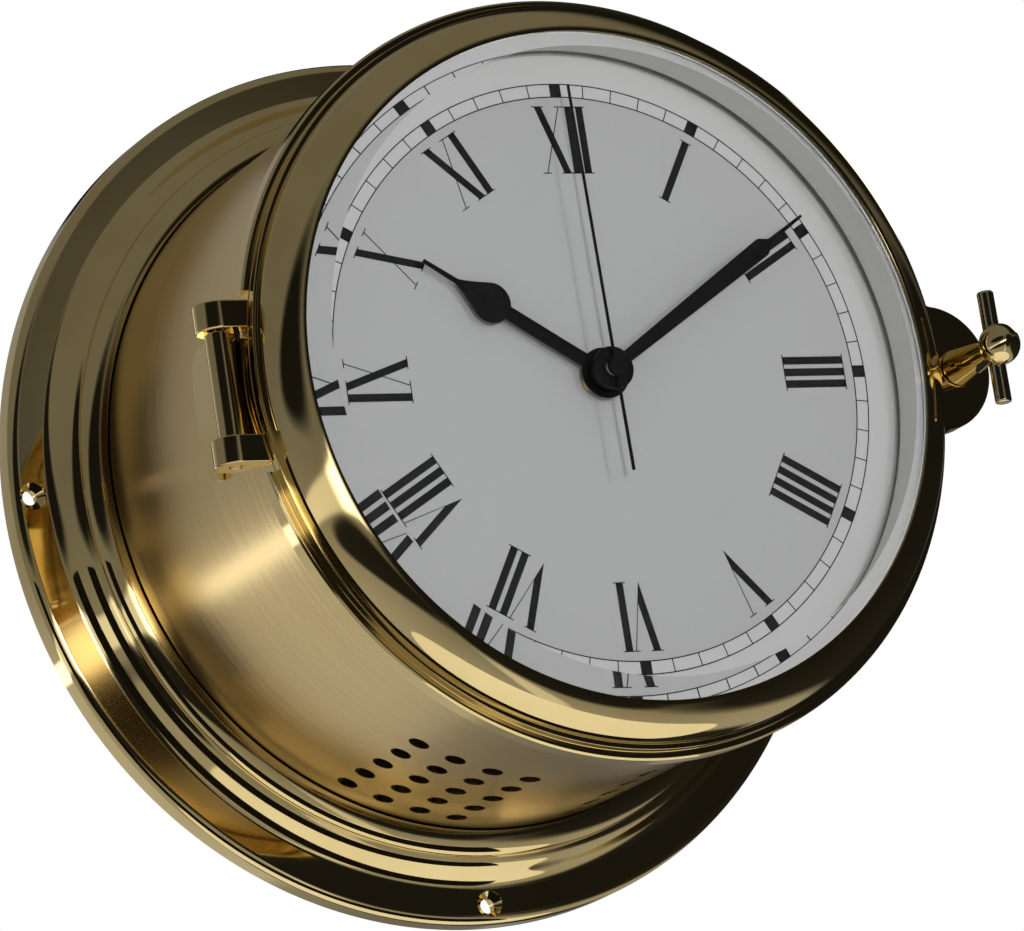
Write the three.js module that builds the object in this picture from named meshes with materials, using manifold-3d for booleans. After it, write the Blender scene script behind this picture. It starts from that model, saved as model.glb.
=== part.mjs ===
// A ship's clock: a brass drum on a round wall flange, a hinged glazed bezel held shut by a thumb
// screw, a dial with three hands, a quartz movement behind it and a small loudspeaker.
// Millimetres, +Z up. The dial faces -Y, and "depth" is the distance in front of the wall (-Y).
// Clock angles start at twelve and grow clockwise as seen from the front.

import * as THREE from 'three';
import { mergeVertices } from 'three/addons/utils/BufferGeometryUtils.js';
import Module from 'manifold-3d';

const wasm = await Module();
wasm.setup();

// Clearance between pieces that touch or turn against each other
const gap = 0.3;
// How far a cutting tool runs past the face it cuts
const past = 1;
// Sides of the large rings
const ringSides = 48;

// Drum
const drumRadius = 72.8;
const drumWall = 1.6;
const drumFront = 82.6;

// Flange, from the drum outwards: flat lip, quarter round, ledge, cove, band and rounded edge
const mouldingLip = 0.8;
const ovoloWidth = 4.2;
const ovoloHeight = 3.2;
const ledgeWidth = 0.4;
const ledgeRise = 0.2;
const coveWidth = 5.1;
const coveTop = 11.1;
const covePull = 2.4;
const coveTurn = 2;
const bandWidth = 6.7;
const bandDepth = 6.2;
const edgeDrop = 0.5;
const edgeRound = 1.9;
const wallScrewInset = 3.7;
const wallScrewRadius = 1.5;
const wallScrewSink = 2.8;

// Web inside the flange, which carries the drum in front and the cover behind
const coverThickness = 2;
const webThickness = 2.3;
const webEdge = 0.4;
const coverInset = 2.8;
const coverScrewInset = 4.2;
const coverScrewRadius = 1.1;
const coverScrewHead = 2.2;
const coverScrewLength = 4.1;
const coverScrewSlot = 0.6;

// Sound holes: two patches low on the drum, measured along its skin from six o'clock
const soundHoleRadius = 2.05;
const soundHolePitch = 8;
const soundHoleRows = 4;
const soundHolesPerRow = 5;
const soundFirstRow = 13;
const soundFirstDepth = 22;

// Bezel ring, as offsets from the drum's outside and front edge
const skirtWall = 2.4;
const skirtReach = 2.9;
const skirtFrontStep = 0.8;
const collarStep = 1.1;
const collarFront = 2.8;
const crownStep = 0.1;
const crownRise = 0.1;
const domeRadius = 7;
const lipStep = 0.15;
const lipThickness = 0.2;
const skirtChamfer = 0.4;

// Glass
const glassThickness = 5;
const glassRise = 2.4;
const glassEdgeHide = 1;
const bevelWidth = 4.8;
const bevelAngle = 37;

// Parts behind the glass
const gasketThickness = 0.7;
const gasketWidth = 1;
const retainerLength = 8.4;
const retainerWall = 3.85;
const retainerNeck = 1.7;
const retainerRim = 0.55;

// Dial and the ring that carries it
const dialInset = 8.2;
const dialSink = 2.35;
const dialThickness = 1.2;
const carrierThickness = 2.75;
const carrierReach = 6.6;
const footRadius = 1.2;
const footInset = 3.6;
const footEnd = 0.35;
const footNutRadius = 2.6;
const footNutHeight = 1.3;

// Hinge at nine o'clock
const pinOffset = 5.2;
const pinSink = 2.6;
const pinRadius = 1;
const knuckleRadius = 2.5;
const knuckleHalf = 10;
const earRadius = 4.1;
const earHeight = 5.3;
const earTurn = 25;
const notchRoom = 1.9;
const leafThickness = 1.2;
const leafMargin = 3;
const leafLength = 19.5;
const leafCorner = 3;
const leafRoot = 2;
const barrelRoot = 0.4;

// Clamp at three o'clock: lug on the bezel, boss on the case, captive thumb screw
const lugOffset = 1.2;
const lugRadius = 12.7;
const lugFillet = 2;
const screwOffset = 6.9;
const bossHalf = 8;
const bossEnd = 5.2;
const bossLength = 11.4;
const bossRound = 3;
const shankRadius = 2;
const grooveDepth = 0.6;
const threadRadius = 1.9;
const threadPlay = 0.5;
const screwTipLength = 12.2;
const screwNose = 0.4;
const clipRadius = 3.2;
const clipThickness = 0.8;
const clipBehindLug = 4.5;
const clipPlay = 0.7;
const clipRoom = 0.8;
const coneBase = 3.8;
const coneFoot = 0.6;
const coneTop = 2.2;
const ballRadius = 4.1;
const ballHeight = 15.8;
const barRadius = 1.65;
const barLength = 22.6;
const barNose = 0.5;
const barBehindBall = 2;
const pressGap = 0.15;

// Movement case, a box behind the dial with the wheels above and the battery below
const wheelRoom = 26.4;
const shellWall = 1.6;
const chamberFloor = -13.6;
const endShake = 0.4;
const rootBite = 0.4;
const studLength = 4.3;
const washerThickness = 1.65;
const washerRadius = 8;
const bushingRadius = 3.6;
const bushingEnd = 0.05;
const nutRadius = 4.8;
const nutHeight = 1.1;
const batteryRadius = 7;
const batteryLength = 49.4;
const batteryNub = 1;
const batteryNubRadius = 2.7;
const contactThickness = 0.5;
const contactInset = 1.5;

// Wheel work: tooth counts, arbor distances and directions (degrees from +X towards +Z)
const teeth = {
  centreWheel: 64, thirdPinion: 8, thirdWheel: 60, secondsPinion: 8, secondsWheel: 40,
  driverPinion: 8, driverWheel: 48, rotorPinion: 8,
  cannonPinion: 12, minuteWheel: 36, minutePinion: 10, hourWheel: 40, setPinion: 12,
};
// Rear and front of each wheel, measured back from the inside face of the case front
const layers = {
  hourWheel: [2.2, 0.8],
  minutePinion: [3.2, 0.5],
  minuteWheel: [4.2, 3],
  setPinion: [4.2, 3],
  cannonPinion: [4.6, 2.8],
  centreWheel: [6.4, 5.2],
  thirdPinion: [6.8, 4.8],
  thirdWheel: [9.6, 8.4],
  secondsPinion: [10, 8],
  secondsWheel: [11.8, 10.8],
  driverPinion: [12.8, 10.4],
  driverWheel: [13.4, 12.6],
  rotorPinion: [13.6, 12],
  rotorMagnet: [12.1, 10.1],
  driverArborFront: 8.7,
  rotorArborFront: 9.2,
  stator: 11.8,
};
const meshPlay = 0.05;
const toothTip = 0.6;
const toothRoot = 0.9;
const thirdDistance = 14.45;
const thirdDirection = 60;
const motionDistance = 10.05;
const motionDirection = 148;
const driverDistance = 9.65;
const driverDirection = -17;
const rotorDistance = 7.05;
const rotorDirection = 17;

// Motor, electrics and setting knob
const rotorRadius = 2.6;
const rotorPlay = 0.6;
const statorBridge = 1.4;
const statorThickness = 1.2;
const statorLeft = 12.2;
const statorBottom = -10.3;
const statorTop = 9.2;
const statorArm = 3.2;
const statorPosts = [[14, -9], [14, 7.6]];
const postRadius = 1;
const coilX = 23.4;
const coilLimb = 1.4;
const coilRadius = 2.5;
const coilCheek = 0.6;
const coilStep = 0.3;
const boardLeft = -14;
const boardBottom = 15.5;
const boardThickness = 1;
const chipPlace = [-6, 21];
const chipRadius = 3;
const chipHeight = 1;
const crystalPlace = [18, 21];
const crystalRadius = 1;
const crystalLength = 6;
const settingArbor = 0.8;
const knobRadius = 4.5;
const knobHeight = 2.7;

// Pipes and arbors, from the middle outwards
const secondsArbor = 0.6;
const minutePipe = 1.5;
const hourPipe = 2.4;
const trainArbor = 0.7;
const fineArbor = 0.5;
const rotorArbor = 0.4;
const pipeSink = 0.2;
const pipeBite = 0.2;

// Hands
const handThickness = 0.5;
const hourHandLift = 0.4;
const hourTipInset = 22.7;
const hourHubRadius = 5;
const hourBulbAt = 26.2;
const hourBulbRadius = 4;
const hourHalf = 1.4;
const hourNeck = 1.2;
const hourNeedle = 0.5;
const hourTip = 0.35;
const minuteHandLift = 3;
const minuteTipInset = 9;
const minuteHubRadius = 4.2;
const minuteCollarRadius = 3.8;
const minuteShoulderInset = 20.6;
const minuteRootHalf = 1.15;
const minuteShoulderHalf = 1.9;
const minuteNeedle = 0.5;
const minuteTip = 0.3;
const shoulderLength = 2;
const secondHandLift = 0.45;
const secondTipInset = 8.2;
const secondTail = 20.5;
const secondHalf = 0.3;
const secondHubRadius = 1.8;
const secondHubHeight = 1.1;
const secondCap = 0.3;
const secondBladeRear = 0.2;
const secondBladeThickness = 0.3;
const hourHandAngle = -57.2;
const minuteHandAngle = 57.3;
const secondHandAngle = -0.8;

// Loudspeaker, facing down between the two patches of sound holes
const speakerDepth = 38;
const speakerRadius = 20;
const speakerLift = 17.2;
const speakerHeight = 9;
const speakerRim = 1.4;
const speakerRimWidth = 3.8;
const speakerBackWall = 1;
const speakerBore = 4.5;
const basketStep = 0.9;
const coneInset = 4.1;
const coneSheet = 0.6;
const coneRearInset = 2.5;
const coneApex = 5;
const magnetRadius = 10;
const magnetHeight = 6;
const bracketHalf = 10;
const bracketWall = 1.5;
const bracketHook = 1.2;
const hookHeight = 1;
const bracketLedge = 3;
const ledgeHeight = 2;
const bracketFoot = 2.4;

// Places that follow from the sizes above
const quirk = drumRadius + mouldingLip + ovoloWidth;
const mouldingFoot = quirk + ledgeWidth + coveWidth;
const mouldingTop = coveTop + ledgeRise + ovoloHeight;
const flangeRadius = mouldingFoot + bandWidth;
const edgeDepth = bandDepth - edgeDrop;
const drumInner = drumRadius - drumWall;
const coverRecess = coverThickness + gap;
const coverSeatRadius = drumRadius - coverInset;
const coverScrewCircle = coverSeatRadius - coverScrewInset;
const coverScrewBore = coverScrewRadius + gap;
const webInner = coverScrewCircle - coverScrewBore - webEdge;
const drumRear = coverRecess + webThickness + gap;
const skirtInner = drumRadius + gap;
const skirtOuter = skirtInner + skirtWall;
const skirtRear = drumFront - skirtReach;
const skirtFront = drumFront + skirtFrontStep;
const collarRadius = drumRadius + collarStep;
const crownRadius = drumRadius + crownStep;
const crownRear = drumFront + collarFront;
const domeCentre = crownRadius - domeRadius;
const lipInner = domeCentre + lipStep;
const domeBase = crownRear + crownRise;
const crest = domeBase + domeRadius;
const glassFront = crest + glassRise;
const glassRear = glassFront - glassThickness;
const glassRadius = lipInner + glassEdgeHide;
const bevelSlope = Math.tan(THREE.MathUtils.degToRad(bevelAngle));
const flatRadius = glassRadius - bevelWidth;
const gasketRear = glassRear - gap - gasketThickness;
const retainerFront = gasketRear + gasketThickness;
const retainerNeckFront = gasketRear - gap;
const retainerShoulder = retainerNeckFront - retainerNeck;
const retainerRear = retainerFront - retainerLength;
const retainerInner = glassRadius - retainerRim - gap - gasketWidth;
const dialRadius = drumRadius - dialInset;
const dialFront = drumFront - dialSink;
const dialRear = dialFront - dialThickness;
const carrierFront = dialRear - gap;
const carrierRear = carrierFront - carrierThickness;
const footCircle = dialRadius - footInset;
const footNutFront = carrierRear - gap;
const footRear = footNutFront - footNutHeight - footEnd;
const pinX = -(drumRadius + pinOffset);
const pinDepth = drumFront - pinSink;
const earFrom = knuckleHalf + gap;
const earTop = earFrom + earHeight;
const skirtNotchHalf = earTop + notchRoom;
const leafHalf = knuckleHalf + leafMargin;
const leafOutside = skirtInner + leafThickness;
const earSpan = Math.sqrt(Math.max(0, earRadius ** 2 - (pinX + leafOutside) ** 2));
const leafFront = Math.min(skirtRear, pinDepth - earSpan) - gap;
const leafRear = leafFront - leafLength;
const screwX = drumRadius + screwOffset;
const bossFront = skirtRear - gap;
const bossRear = bossFront - bossLength;
const grooveRadius = shankRadius - grooveDepth;
const clipInner = grooveRadius + gap;
const clipRear = skirtRear - clipBehindLug;
const clipFront = clipRear + clipThickness;
const counterboreRadius = clipRadius + clipPlay;
const counterboreFloor = clipRear - clipRoom;
const ballDepth = skirtFront + ballHeight;
const barDepth = ballDepth - barBehindBall;
const movementFront = dialRear - gap - washerThickness - gap;
const bushingFront = dialFront + gap + nutHeight + bushingEnd;
const inside = movementFront - shellWall;
const shellRear = inside - layers.rotorPinion[0] - endShake;
const plateFront = shellRear - gap;
const plateRear = plateFront - shellWall;
const batteryRoom = (batteryLength + batteryNub) / 2 + contactThickness + 2 * gap;
const wallInside = Math.max(wheelRoom, batteryRoom);
const movementHalf = wallInside + shellWall;
const bayTop = chamberFloor - shellWall;
const bayFloor = bayTop - 2 * (batteryRadius + pressGap);
const movementBottom = bayFloor - shellWall;
const batteryPlace = [0, (bayTop + bayFloor) / 2];
const batteryDepth = inside - batteryRadius - pressGap;
const statorRear = inside - layers.stator;
const hourHandRear = bushingFront + hourHandLift;
const hourHandFront = hourHandRear + handThickness;
const minuteHandRear = hourHandFront + minuteHandLift;
const minuteHandFront = minuteHandRear + handThickness;
const secondHandRear = minuteHandFront + secondHandLift;
const speakerFloor = -drumInner + speakerLift;

// Colours and finishes
const finishes = {
  brass: { color: 0xc9a15c, metalness: 1, roughness: 0.2 },
  brushedBrass: { color: 0xb98f4e, metalness: 1, roughness: 0.35 },
  paleBrass: { color: 0xd9cda6, metalness: 1, roughness: 0.3 },
  steel: { color: 0xb9bcc0, metalness: 1, roughness: 0.35 },
  darkSteel: { color: 0x55585c, metalness: 1, roughness: 0.4 },
  copper: { color: 0xb4693c, metalness: 1, roughness: 0.35 },
  dialWhite: { color: 0xdcdcda, metalness: 0, roughness: 0.5 },
  handBlack: { color: 0x121212, metalness: 0, roughness: 0.4 },
  plastic: { color: 0x1d1e20, metalness: 0, roughness: 0.5 },
  wheelPlastic: { color: 0xe6e2d6, metalness: 0, roughness: 0.5 },
  rubber: { color: 0x141414, metalness: 0, roughness: 0.8 },
  board: { color: 0x1f5b38, metalness: 0, roughness: 0.5 },
  paper: { color: 0x2a2826, metalness: 0, roughness: 0.9 },
  cell: { color: 0x8b8f94, metalness: 0.6, roughness: 0.4 },
  glass: { color: 0xffffff, metalness: 0, roughness: 0.02, transparent: true, opacity: 0.25 },
};

// Shared shape helpers

function radians(degrees) {
  return THREE.MathUtils.degToRad(degrees);
}

// x and z at a radius and a clock angle
function onDial(radius, clockDegrees) {
  return [radius * Math.sin(radians(clockDegrees)), radius * Math.cos(radians(clockDegrees))];
}

// x and z at a distance and a direction from a start point
function onPlan(distance, direction, from = [0, 0]) {
  const angle = radians(direction);
  return [from[0] + distance * Math.cos(angle), from[1] + distance * Math.sin(angle)];
}

function lathe(outline, sides) {
  const points = outline.map(([radius, height]) => new THREE.Vector2(radius, height));
  if (THREE.ShapeUtils.area(points) < 0) points.reverse();
  if (points[0].x > 0) points.push(points[0].clone());
  return new THREE.LatheGeometry(points, sides);
}

// Turned about the clock's axis, from [radius, depth] points
function turned(outline, sides = ringSides) {
  return lathe(outline.map(([radius, depth]) => [radius, -depth]), sides);
}

// Turned about an upright axis, from [radius, height] points
function turnedUpright(outline, sides) {
  return lathe(outline, sides).rotateX(Math.PI / 2);
}

function rod(radius, rear, front, sides = 16) {
  return turned([[0, rear], [radius, rear], [radius, front], [0, front]], sides);
}

function tube(inner, outer, rear, front, sides = 16) {
  return turned([[inner, rear], [outer, rear], [outer, front], [inner, front]], sides);
}

function uprightRod(radius, bottom, top, sides = 16) {
  return turnedUpright([[0, bottom], [radius, bottom], [radius, top], [0, top]], sides);
}

function box(x0, x1, rear, front, z0, z1) {
  const solid = new THREE.BoxGeometry(x1 - x0, front - rear, z1 - z0);
  return solid.translate((x0 + x1) / 2, -(rear + front) / 2, (z0 + z1) / 2);
}

// A flat plate parallel to the wall, from a shape drawn in x and z
function plate(shape, rear, front, curveSegments = 12) {
  const solid = new THREE.ExtrudeGeometry(shape, { depth: front - rear, bevelEnabled: false, curveSegments });
  return solid.rotateX(Math.PI / 2).translate(0, -rear, 0);
}

// A prism along Z, from a shape drawn in x and y
function uprightPrism(shape, bottom, top, curveSegments = 12) {
  const solid = new THREE.ExtrudeGeometry(shape, { depth: top - bottom, bevelEnabled: false, curveSegments });
  return solid.translate(0, 0, bottom);
}

// A prism along X, from a shape drawn in y and z
function sidewaysPrism(shape, left, right, curveSegments = 12) {
  const solid = new THREE.ExtrudeGeometry(shape, { depth: right - left, bevelEnabled: false, curveSegments });
  const turn = new THREE.Matrix4().set(0, 0, 1, left, 1, 0, 0, 0, 0, 1, 0, 0, 0, 0, 0, 1);
  return solid.applyMatrix4(turn);
}

// A closed outline, wound anticlockwise whichever way its points run
function polygon(points) {
  const corners = points.map(([x, z]) => new THREE.Vector2(x, z));
  if (THREE.ShapeUtils.area(corners) < 0) corners.reverse();
  return new THREE.Shape(corners);
}

function roundHole(x, z, radius, sides) {
  const steps = Array.from({ length: sides }, (_, index) => onPlan(radius, -index * 360 / sides, [x, z]));
  return new THREE.Path(steps.map((point) => new THREE.Vector2(...point)));
}

function hexagonNut(bore, radius, rear, front) {
  const shape = polygon([0, 60, 120, 180, 240, 300].map((angle) => onDial(radius, angle)));
  shape.holes.push(roundHole(0, 0, bore, 16));
  return plate(shape, rear, front);
}

function curvePoints(curve, steps) {
  return curve.getPoints(steps).map((point) => [point.x, point.y]);
}

function arc(x, y, radius, from, to, steps) {
  const curve = new THREE.EllipseCurve(x, y, radius, radius, radians(from), radians(to), to < from);
  return curvePoints(curve, steps);
}

// Booleans

function toSolid(geometry) {
  const bare = geometry.clone();
  bare.deleteAttribute('normal');
  bare.deleteAttribute('uv');
  const merged = mergeVertices(bare, 1e-4);
  return new wasm.Manifold(new wasm.Mesh({
    numProp: 3,
    vertProperties: Float32Array.from(merged.attributes.position.array),
    triVerts: Uint32Array.from(merged.index.array),
  }));
}

function toGeometry(solid) {
  const { vertProperties, triVerts } = solid.getMesh();
  const geometry = new THREE.BufferGeometry();
  geometry.setAttribute('position', new THREE.BufferAttribute(Float32Array.from(vertProperties), 3));
  geometry.setIndex(new THREE.BufferAttribute(Uint32Array.from(triVerts), 1));
  return geometry;
}

function joined(...geometries) {
  return toGeometry(geometries.map(toSolid).reduce((sum, solid) => sum.add(solid)));
}

function cut(geometry, ...tools) {
  return toGeometry(tools.map(toSolid).reduce((rest, tool) => rest.subtract(tool), toSolid(geometry)));
}

function common(first, second) {
  return toGeometry(toSolid(first).intersect(toSolid(second)));
}

// Groups, one for each part of the clock that moves or comes off as a unit
const clock = new THREE.Group();
const caseGroup = new THREE.Group();
const bezelGroup = new THREE.Group();
const screwGroup = new THREE.Group();
const movementGroup = new THREE.Group();
const speakerGroup = new THREE.Group();
clock.add(caseGroup, bezelGroup, movementGroup, speakerGroup);
bezelGroup.add(screwGroup);

function addPiece(group, name, geometry, finish, [x, z] = [0, 0], depth = 0) {
  const piece = new THREE.Mesh(geometry, new THREE.MeshStandardMaterial(finishes[finish]));
  piece.name = name;
  piece.position.set(x, -depth, z);
  group.add(piece);
}

// Case

function countersunkScrew() {
  const cone = coverScrewHead - coverScrewRadius;
  const body = turned([
    [0, gap / 2], [coverScrewHead, gap / 2], [coverScrewRadius, gap / 2 + cone],
    [coverScrewRadius, coverScrewLength], [0, coverScrewLength],
  ], 12);
  return cut(body, box(-coverScrewHead, coverScrewHead, -past, coverScrewSlot, -gap, gap));
}

function coverScrewHole() {
  const head = coverScrewHead + gap;
  const foot = gap / 2 + head - coverScrewBore;
  const end = drumRear + past;
  return turned([
    [0, -past], [head, -past], [head, gap / 2], [coverScrewBore, foot], [coverScrewBore, end], [0, end],
  ], 12);
}

function coverScrewPlaces() {
  return [45, 135, 225, 315].map((angle) => onDial(coverScrewCircle, angle));
}

function makeFlange() {
  const rounding = arc(flangeRadius - edgeRound, edgeDepth - edgeRound, edgeRound, 0, 90, 3);
  const cove = new THREE.CubicBezierCurve(
    new THREE.Vector2(mouldingFoot, bandDepth),
    new THREE.Vector2(mouldingFoot - covePull, bandDepth + ledgeRise),
    new THREE.Vector2(quirk + ledgeWidth + coveTurn, coveTop - edgeDrop),
    new THREE.Vector2(quirk + ledgeWidth, coveTop),
  );
  const ledge = coveTop + ledgeRise;
  const ovolo = new THREE.EllipseCurve(quirk - ovoloWidth, ledge, ovoloWidth, ovoloHeight, 0, Math.PI / 2);
  const ring = turned([
    [flangeRadius, 0], ...rounding, ...curvePoints(cove, 5),
    [quirk, ledge], ...curvePoints(ovolo, 3).slice(1),
    [skirtInner, mouldingTop], [skirtInner, drumRear - gap], [webInner, drumRear - gap],
    [webInner, coverRecess], [coverSeatRadius, coverRecess], [coverSeatRadius, 0],
  ]);
  const sink = wallScrewSink - wallScrewRadius;
  const rim = bandDepth - edgeDrop / 2;
  const wallScrewHole = turned([
    [0, -past], [wallScrewRadius, -past], [wallScrewRadius, rim - sink],
    [wallScrewSink, rim], [wallScrewSink, bandDepth + past], [0, bandDepth + past],
  ], 12);
  const wallHoles = [0, 90, 180, 270].map((angle) => {
    const [x, z] = onDial(flangeRadius - wallScrewInset, angle);
    return wallScrewHole.clone().translate(x, 0, z);
  });
  const coverHoles = coverScrewPlaces().map(([x, z]) => coverScrewHole().translate(x, 0, z));
  return cut(ring, ...wallHoles, ...coverHoles);
}

function makeDrum() {
  const wall = tube(drumInner, drumRadius, drumRear, drumFront, ringSides);
  const holes = [];
  for (const side of [-1, 1]) {
    for (let row = 0; row < soundHoleRows; row += 1) {
      const alongSkin = soundFirstRow + row * soundHolePitch;
      const angle = side * alongSkin / drumRadius;
      for (let index = 0; index < soundHolesPerRow; index += 1) {
        const depth = soundFirstDepth + index * soundHolePitch;
        const drill = uprightRod(soundHoleRadius, -drumRadius - past, -drumInner + past, 8);
        holes.push(drill.translate(0, -depth, 0).rotateY(angle));
      }
    }
  }
  return cut(wall, ...holes);
}

function makeCover() {
  const disc = rod(coverSeatRadius - gap, 0, coverThickness, ringSides);
  return cut(disc, ...coverScrewPlaces().map(([x, z]) => coverScrewHole().translate(x, 0, z)));
}

function footPlaces() {
  return [60, 180, 300].map((angle) => onDial(footCircle, angle));
}

function makeCarrier() {
  const ring = tube(dialRadius - carrierReach, drumInner - gap, carrierRear, carrierFront, ringSides);
  const hole = rod(footRadius + gap, carrierRear - past, carrierFront + past, 12);
  return cut(ring, ...footPlaces().map(([x, z]) => hole.clone().translate(x, 0, z)));
}

function makeDial() {
  const disc = tube(bushingRadius + gap, dialRadius, dialRear, dialFront, ringSides);
  const foot = rod(footRadius, footRear, dialRear + rootBite, 12);
  return joined(disc, ...footPlaces().map(([x, z]) => foot.clone().translate(x, 0, z)));
}

function makeFootNut() {
  return hexagonNut(footRadius + gap, footNutRadius, footNutFront - footNutHeight, footNutFront);
}

function makeHingeLeaf() {
  const curved = tube(skirtInner, leafOutside, leafRear, leafFront, ringSides * 2);
  const outline = new THREE.Shape();
  const [cornerY, cornerZ] = [-leafRear - leafCorner, leafHalf - leafCorner];
  outline.moveTo(-leafFront, -leafHalf);
  outline.absarc(cornerY, -cornerZ, leafCorner, 1.5 * Math.PI, 2 * Math.PI, false);
  outline.absarc(cornerY, cornerZ, leafCorner, 0, Math.PI / 2, false);
  outline.lineTo(-leafFront, leafHalf);
  const leaf = common(curved, sidewaysPrism(outline, pinX, 0, 4));
  const knuckle = uprightRod(knuckleRadius, -knuckleHalf, knuckleHalf, 20).translate(pinX, -pinDepth, 0);
  const webFront = pinDepth - pinRadius - barrelRoot;
  const web = box(pinX, -drumInner, leafFront - leafRoot, webFront, -knuckleHalf, knuckleHalf);
  const bore = uprightRod(pinRadius + gap, -leafHalf, leafHalf, 16).translate(pinX, -pinDepth, 0);
  const drumSpace = rod(skirtInner, leafRear - past, drumFront + past, ringSides * 2);
  return cut(joined(leaf, knuckle, cut(web, drumSpace)), bore);
}

function makeBoss() {
  const inner = Math.sqrt(drumInner ** 2 - bossHalf ** 2) - past;
  const outer = screwX + bossEnd;
  const outline = new THREE.Shape();
  outline.moveTo(inner, -bossHalf);
  outline.lineTo(screwX - bossRound, -bossHalf);
  outline.quadraticCurveTo(outer, -bossHalf, outer, 0);
  outline.quadraticCurveTo(outer, bossHalf, screwX - bossRound, bossHalf);
  outline.lineTo(inner, bossHalf);
  const block = plate(outline, bossRear, bossFront, 6);
  const drumSpace = rod(skirtInner, bossRear - past, bossFront + past, ringSides);
  const thread = rod(threadRadius + threadPlay, bossRear - past, bossFront + past, 16);
  const counterbore = rod(counterboreRadius, counterboreFloor, bossFront + past, 16);
  return cut(block, drumSpace, thread.translate(screwX, 0, 0), counterbore.translate(screwX, 0, 0));
}

addPiece(caseGroup, 'mounting_flange', makeFlange(), 'brass');
addPiece(caseGroup, 'case_drum', makeDrum(), 'brushedBrass');
addPiece(caseGroup, 'back_cover', makeCover(), 'plastic');
coverScrewPlaces().forEach((place, index) => {
  addPiece(caseGroup, `cover_screw_${index + 1}`, countersunkScrew(), 'steel', place);
});
addPiece(caseGroup, 'dial_carrier', makeCarrier(), 'darkSteel');
addPiece(caseGroup, 'dial', makeDial(), 'dialWhite');
footPlaces().forEach((place, index) => {
  addPiece(caseGroup, `dial_foot_nut_${index + 1}`, makeFootNut(), 'brass', place);
});
addPiece(caseGroup, 'hinge_leaf', makeHingeLeaf(), 'brass');
addPiece(caseGroup, 'clamp_boss', makeBoss(), 'brass');

// Bezel

function glassSurface(radius) {
  return glassFront - (radius - flatRadius) * bevelSlope;
}

function lugPoint(lugX, angle) {
  return onPlan(lugRadius, angle, [lugX, 0]);
}

function makeLug() {
  const lugX = drumRadius + lugOffset;
  const reach = lugRadius + lugFillet;
  const rootX = Math.sqrt(skirtOuter ** 2 - reach ** 2) - past;
  const outline = new THREE.Shape();
  outline.moveTo(rootX, -reach);
  outline.quadraticCurveTo(lugX, -lugRadius, ...lugPoint(lugX, -80));
  outline.absarc(lugX, 0, lugRadius, radians(-80), radians(80), false);
  outline.quadraticCurveTo(lugX, lugRadius, rootX, reach);
  return plate(outline, skirtRear, skirtFront, 14);
}

function makeBezelRing() {
  const bore = retainerInner + retainerWall + gap;
  const seat = glassRadius + gap;
  const lipUnder = crest - lipThickness;
  const ring = turned([
    [skirtInner, skirtRear], [skirtOuter, skirtRear], [skirtOuter, skirtFront - skirtChamfer],
    [skirtOuter - skirtChamfer, skirtFront], [collarRadius, skirtFront], [collarRadius, crownRear],
    [crownRadius, crownRear], ...arc(domeCentre, domeBase, domeRadius, 0, 88, 8),
    [lipInner, lipUnder], [seat, lipUnder - (seat - lipInner) * bevelSlope],
    [seat, retainerShoulder + gap], [bore, retainerShoulder + gap],
    [bore, drumFront + gap], [skirtInner, drumFront + gap],
  ]);
  const drumSpace = rod(skirtInner, skirtRear - past, drumFront + gap, ringSides);
  const shankHole = rod(shankRadius + gap, skirtRear - past, skirtFront + past, 16).translate(screwX, 0, 0);
  const skirtBand = tube(collarRadius, skirtOuter + past, skirtRear - past, skirtFront, ringSides);
  const half = skirtNotchHalf;
  const hingeSide = box(-skirtOuter - 2 * past, 0, skirtRear - past, skirtFront, -half, half);
  const lug = cut(makeLug(), drumSpace, shankHole);
  return cut(joined(ring, lug), common(skirtBand, hingeSide));
}

function makeHingeEar(bottom) {
  const top = bottom + earHeight;
  const inner = -drumInner;
  const front = -pinDepth - earRadius;
  const outline = new THREE.Shape();
  outline.moveTo(inner, front);
  outline.lineTo(inner, -skirtRear);
  outline.lineTo(pinX + earRadius * Math.cos(radians(earTurn)), -skirtRear);
  outline.absarc(pinX, -pinDepth, earRadius, radians(earTurn), radians(270), false);
  const block = uprightPrism(outline, bottom, top, 14);
  const reach = 2 * earRadius;
  const ringSpace = rod(collarRadius + gap, pinDepth - reach, pinDepth + reach, ringSides * 2);
  const pinHole = uprightRod(pinRadius + gap, bottom - past, top + past, 16).translate(pinX, -pinDepth, 0);
  return cut(block, ringSpace, pinHole);
}

function makeGlass() {
  return turned([
    [0, glassRear], [glassRadius, glassRear], [glassRadius, glassSurface(glassRadius)],
    [flatRadius, glassFront], [0, glassFront],
  ]);
}

function makeGasket() {
  return tube(glassRadius - gasketWidth, glassRadius, gasketRear, gasketRear + gasketThickness, ringSides);
}

function makeRetainer() {
  const rimOuter = retainerInner + retainerRim;
  const outer = retainerInner + retainerWall;
  return turned([
    [retainerInner, retainerRear], [outer, retainerRear], [outer, retainerShoulder],
    [glassRadius, retainerShoulder], [glassRadius, retainerNeckFront], [rimOuter, retainerNeckFront],
    [rimOuter, retainerFront], [retainerInner, retainerFront],
  ]);
}

addPiece(bezelGroup, 'bezel_ring', makeBezelRing(), 'brass');
addPiece(bezelGroup, 'hinge_ear_upper', makeHingeEar(earFrom), 'brass');
addPiece(bezelGroup, 'hinge_ear_lower', makeHingeEar(-earFrom - earHeight), 'brass');
addPiece(bezelGroup, 'hinge_pin', uprightRod(pinRadius, -earTop, earTop, 16), 'brass', [pinX, 0], pinDepth);
addPiece(bezelGroup, 'glass', makeGlass(), 'glass');
addPiece(bezelGroup, 'glass_gasket', makeGasket(), 'rubber');
addPiece(bezelGroup, 'glass_retaining_ring', makeRetainer(), 'paleBrass');

// Thumb screw, turned about its own axis

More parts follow.
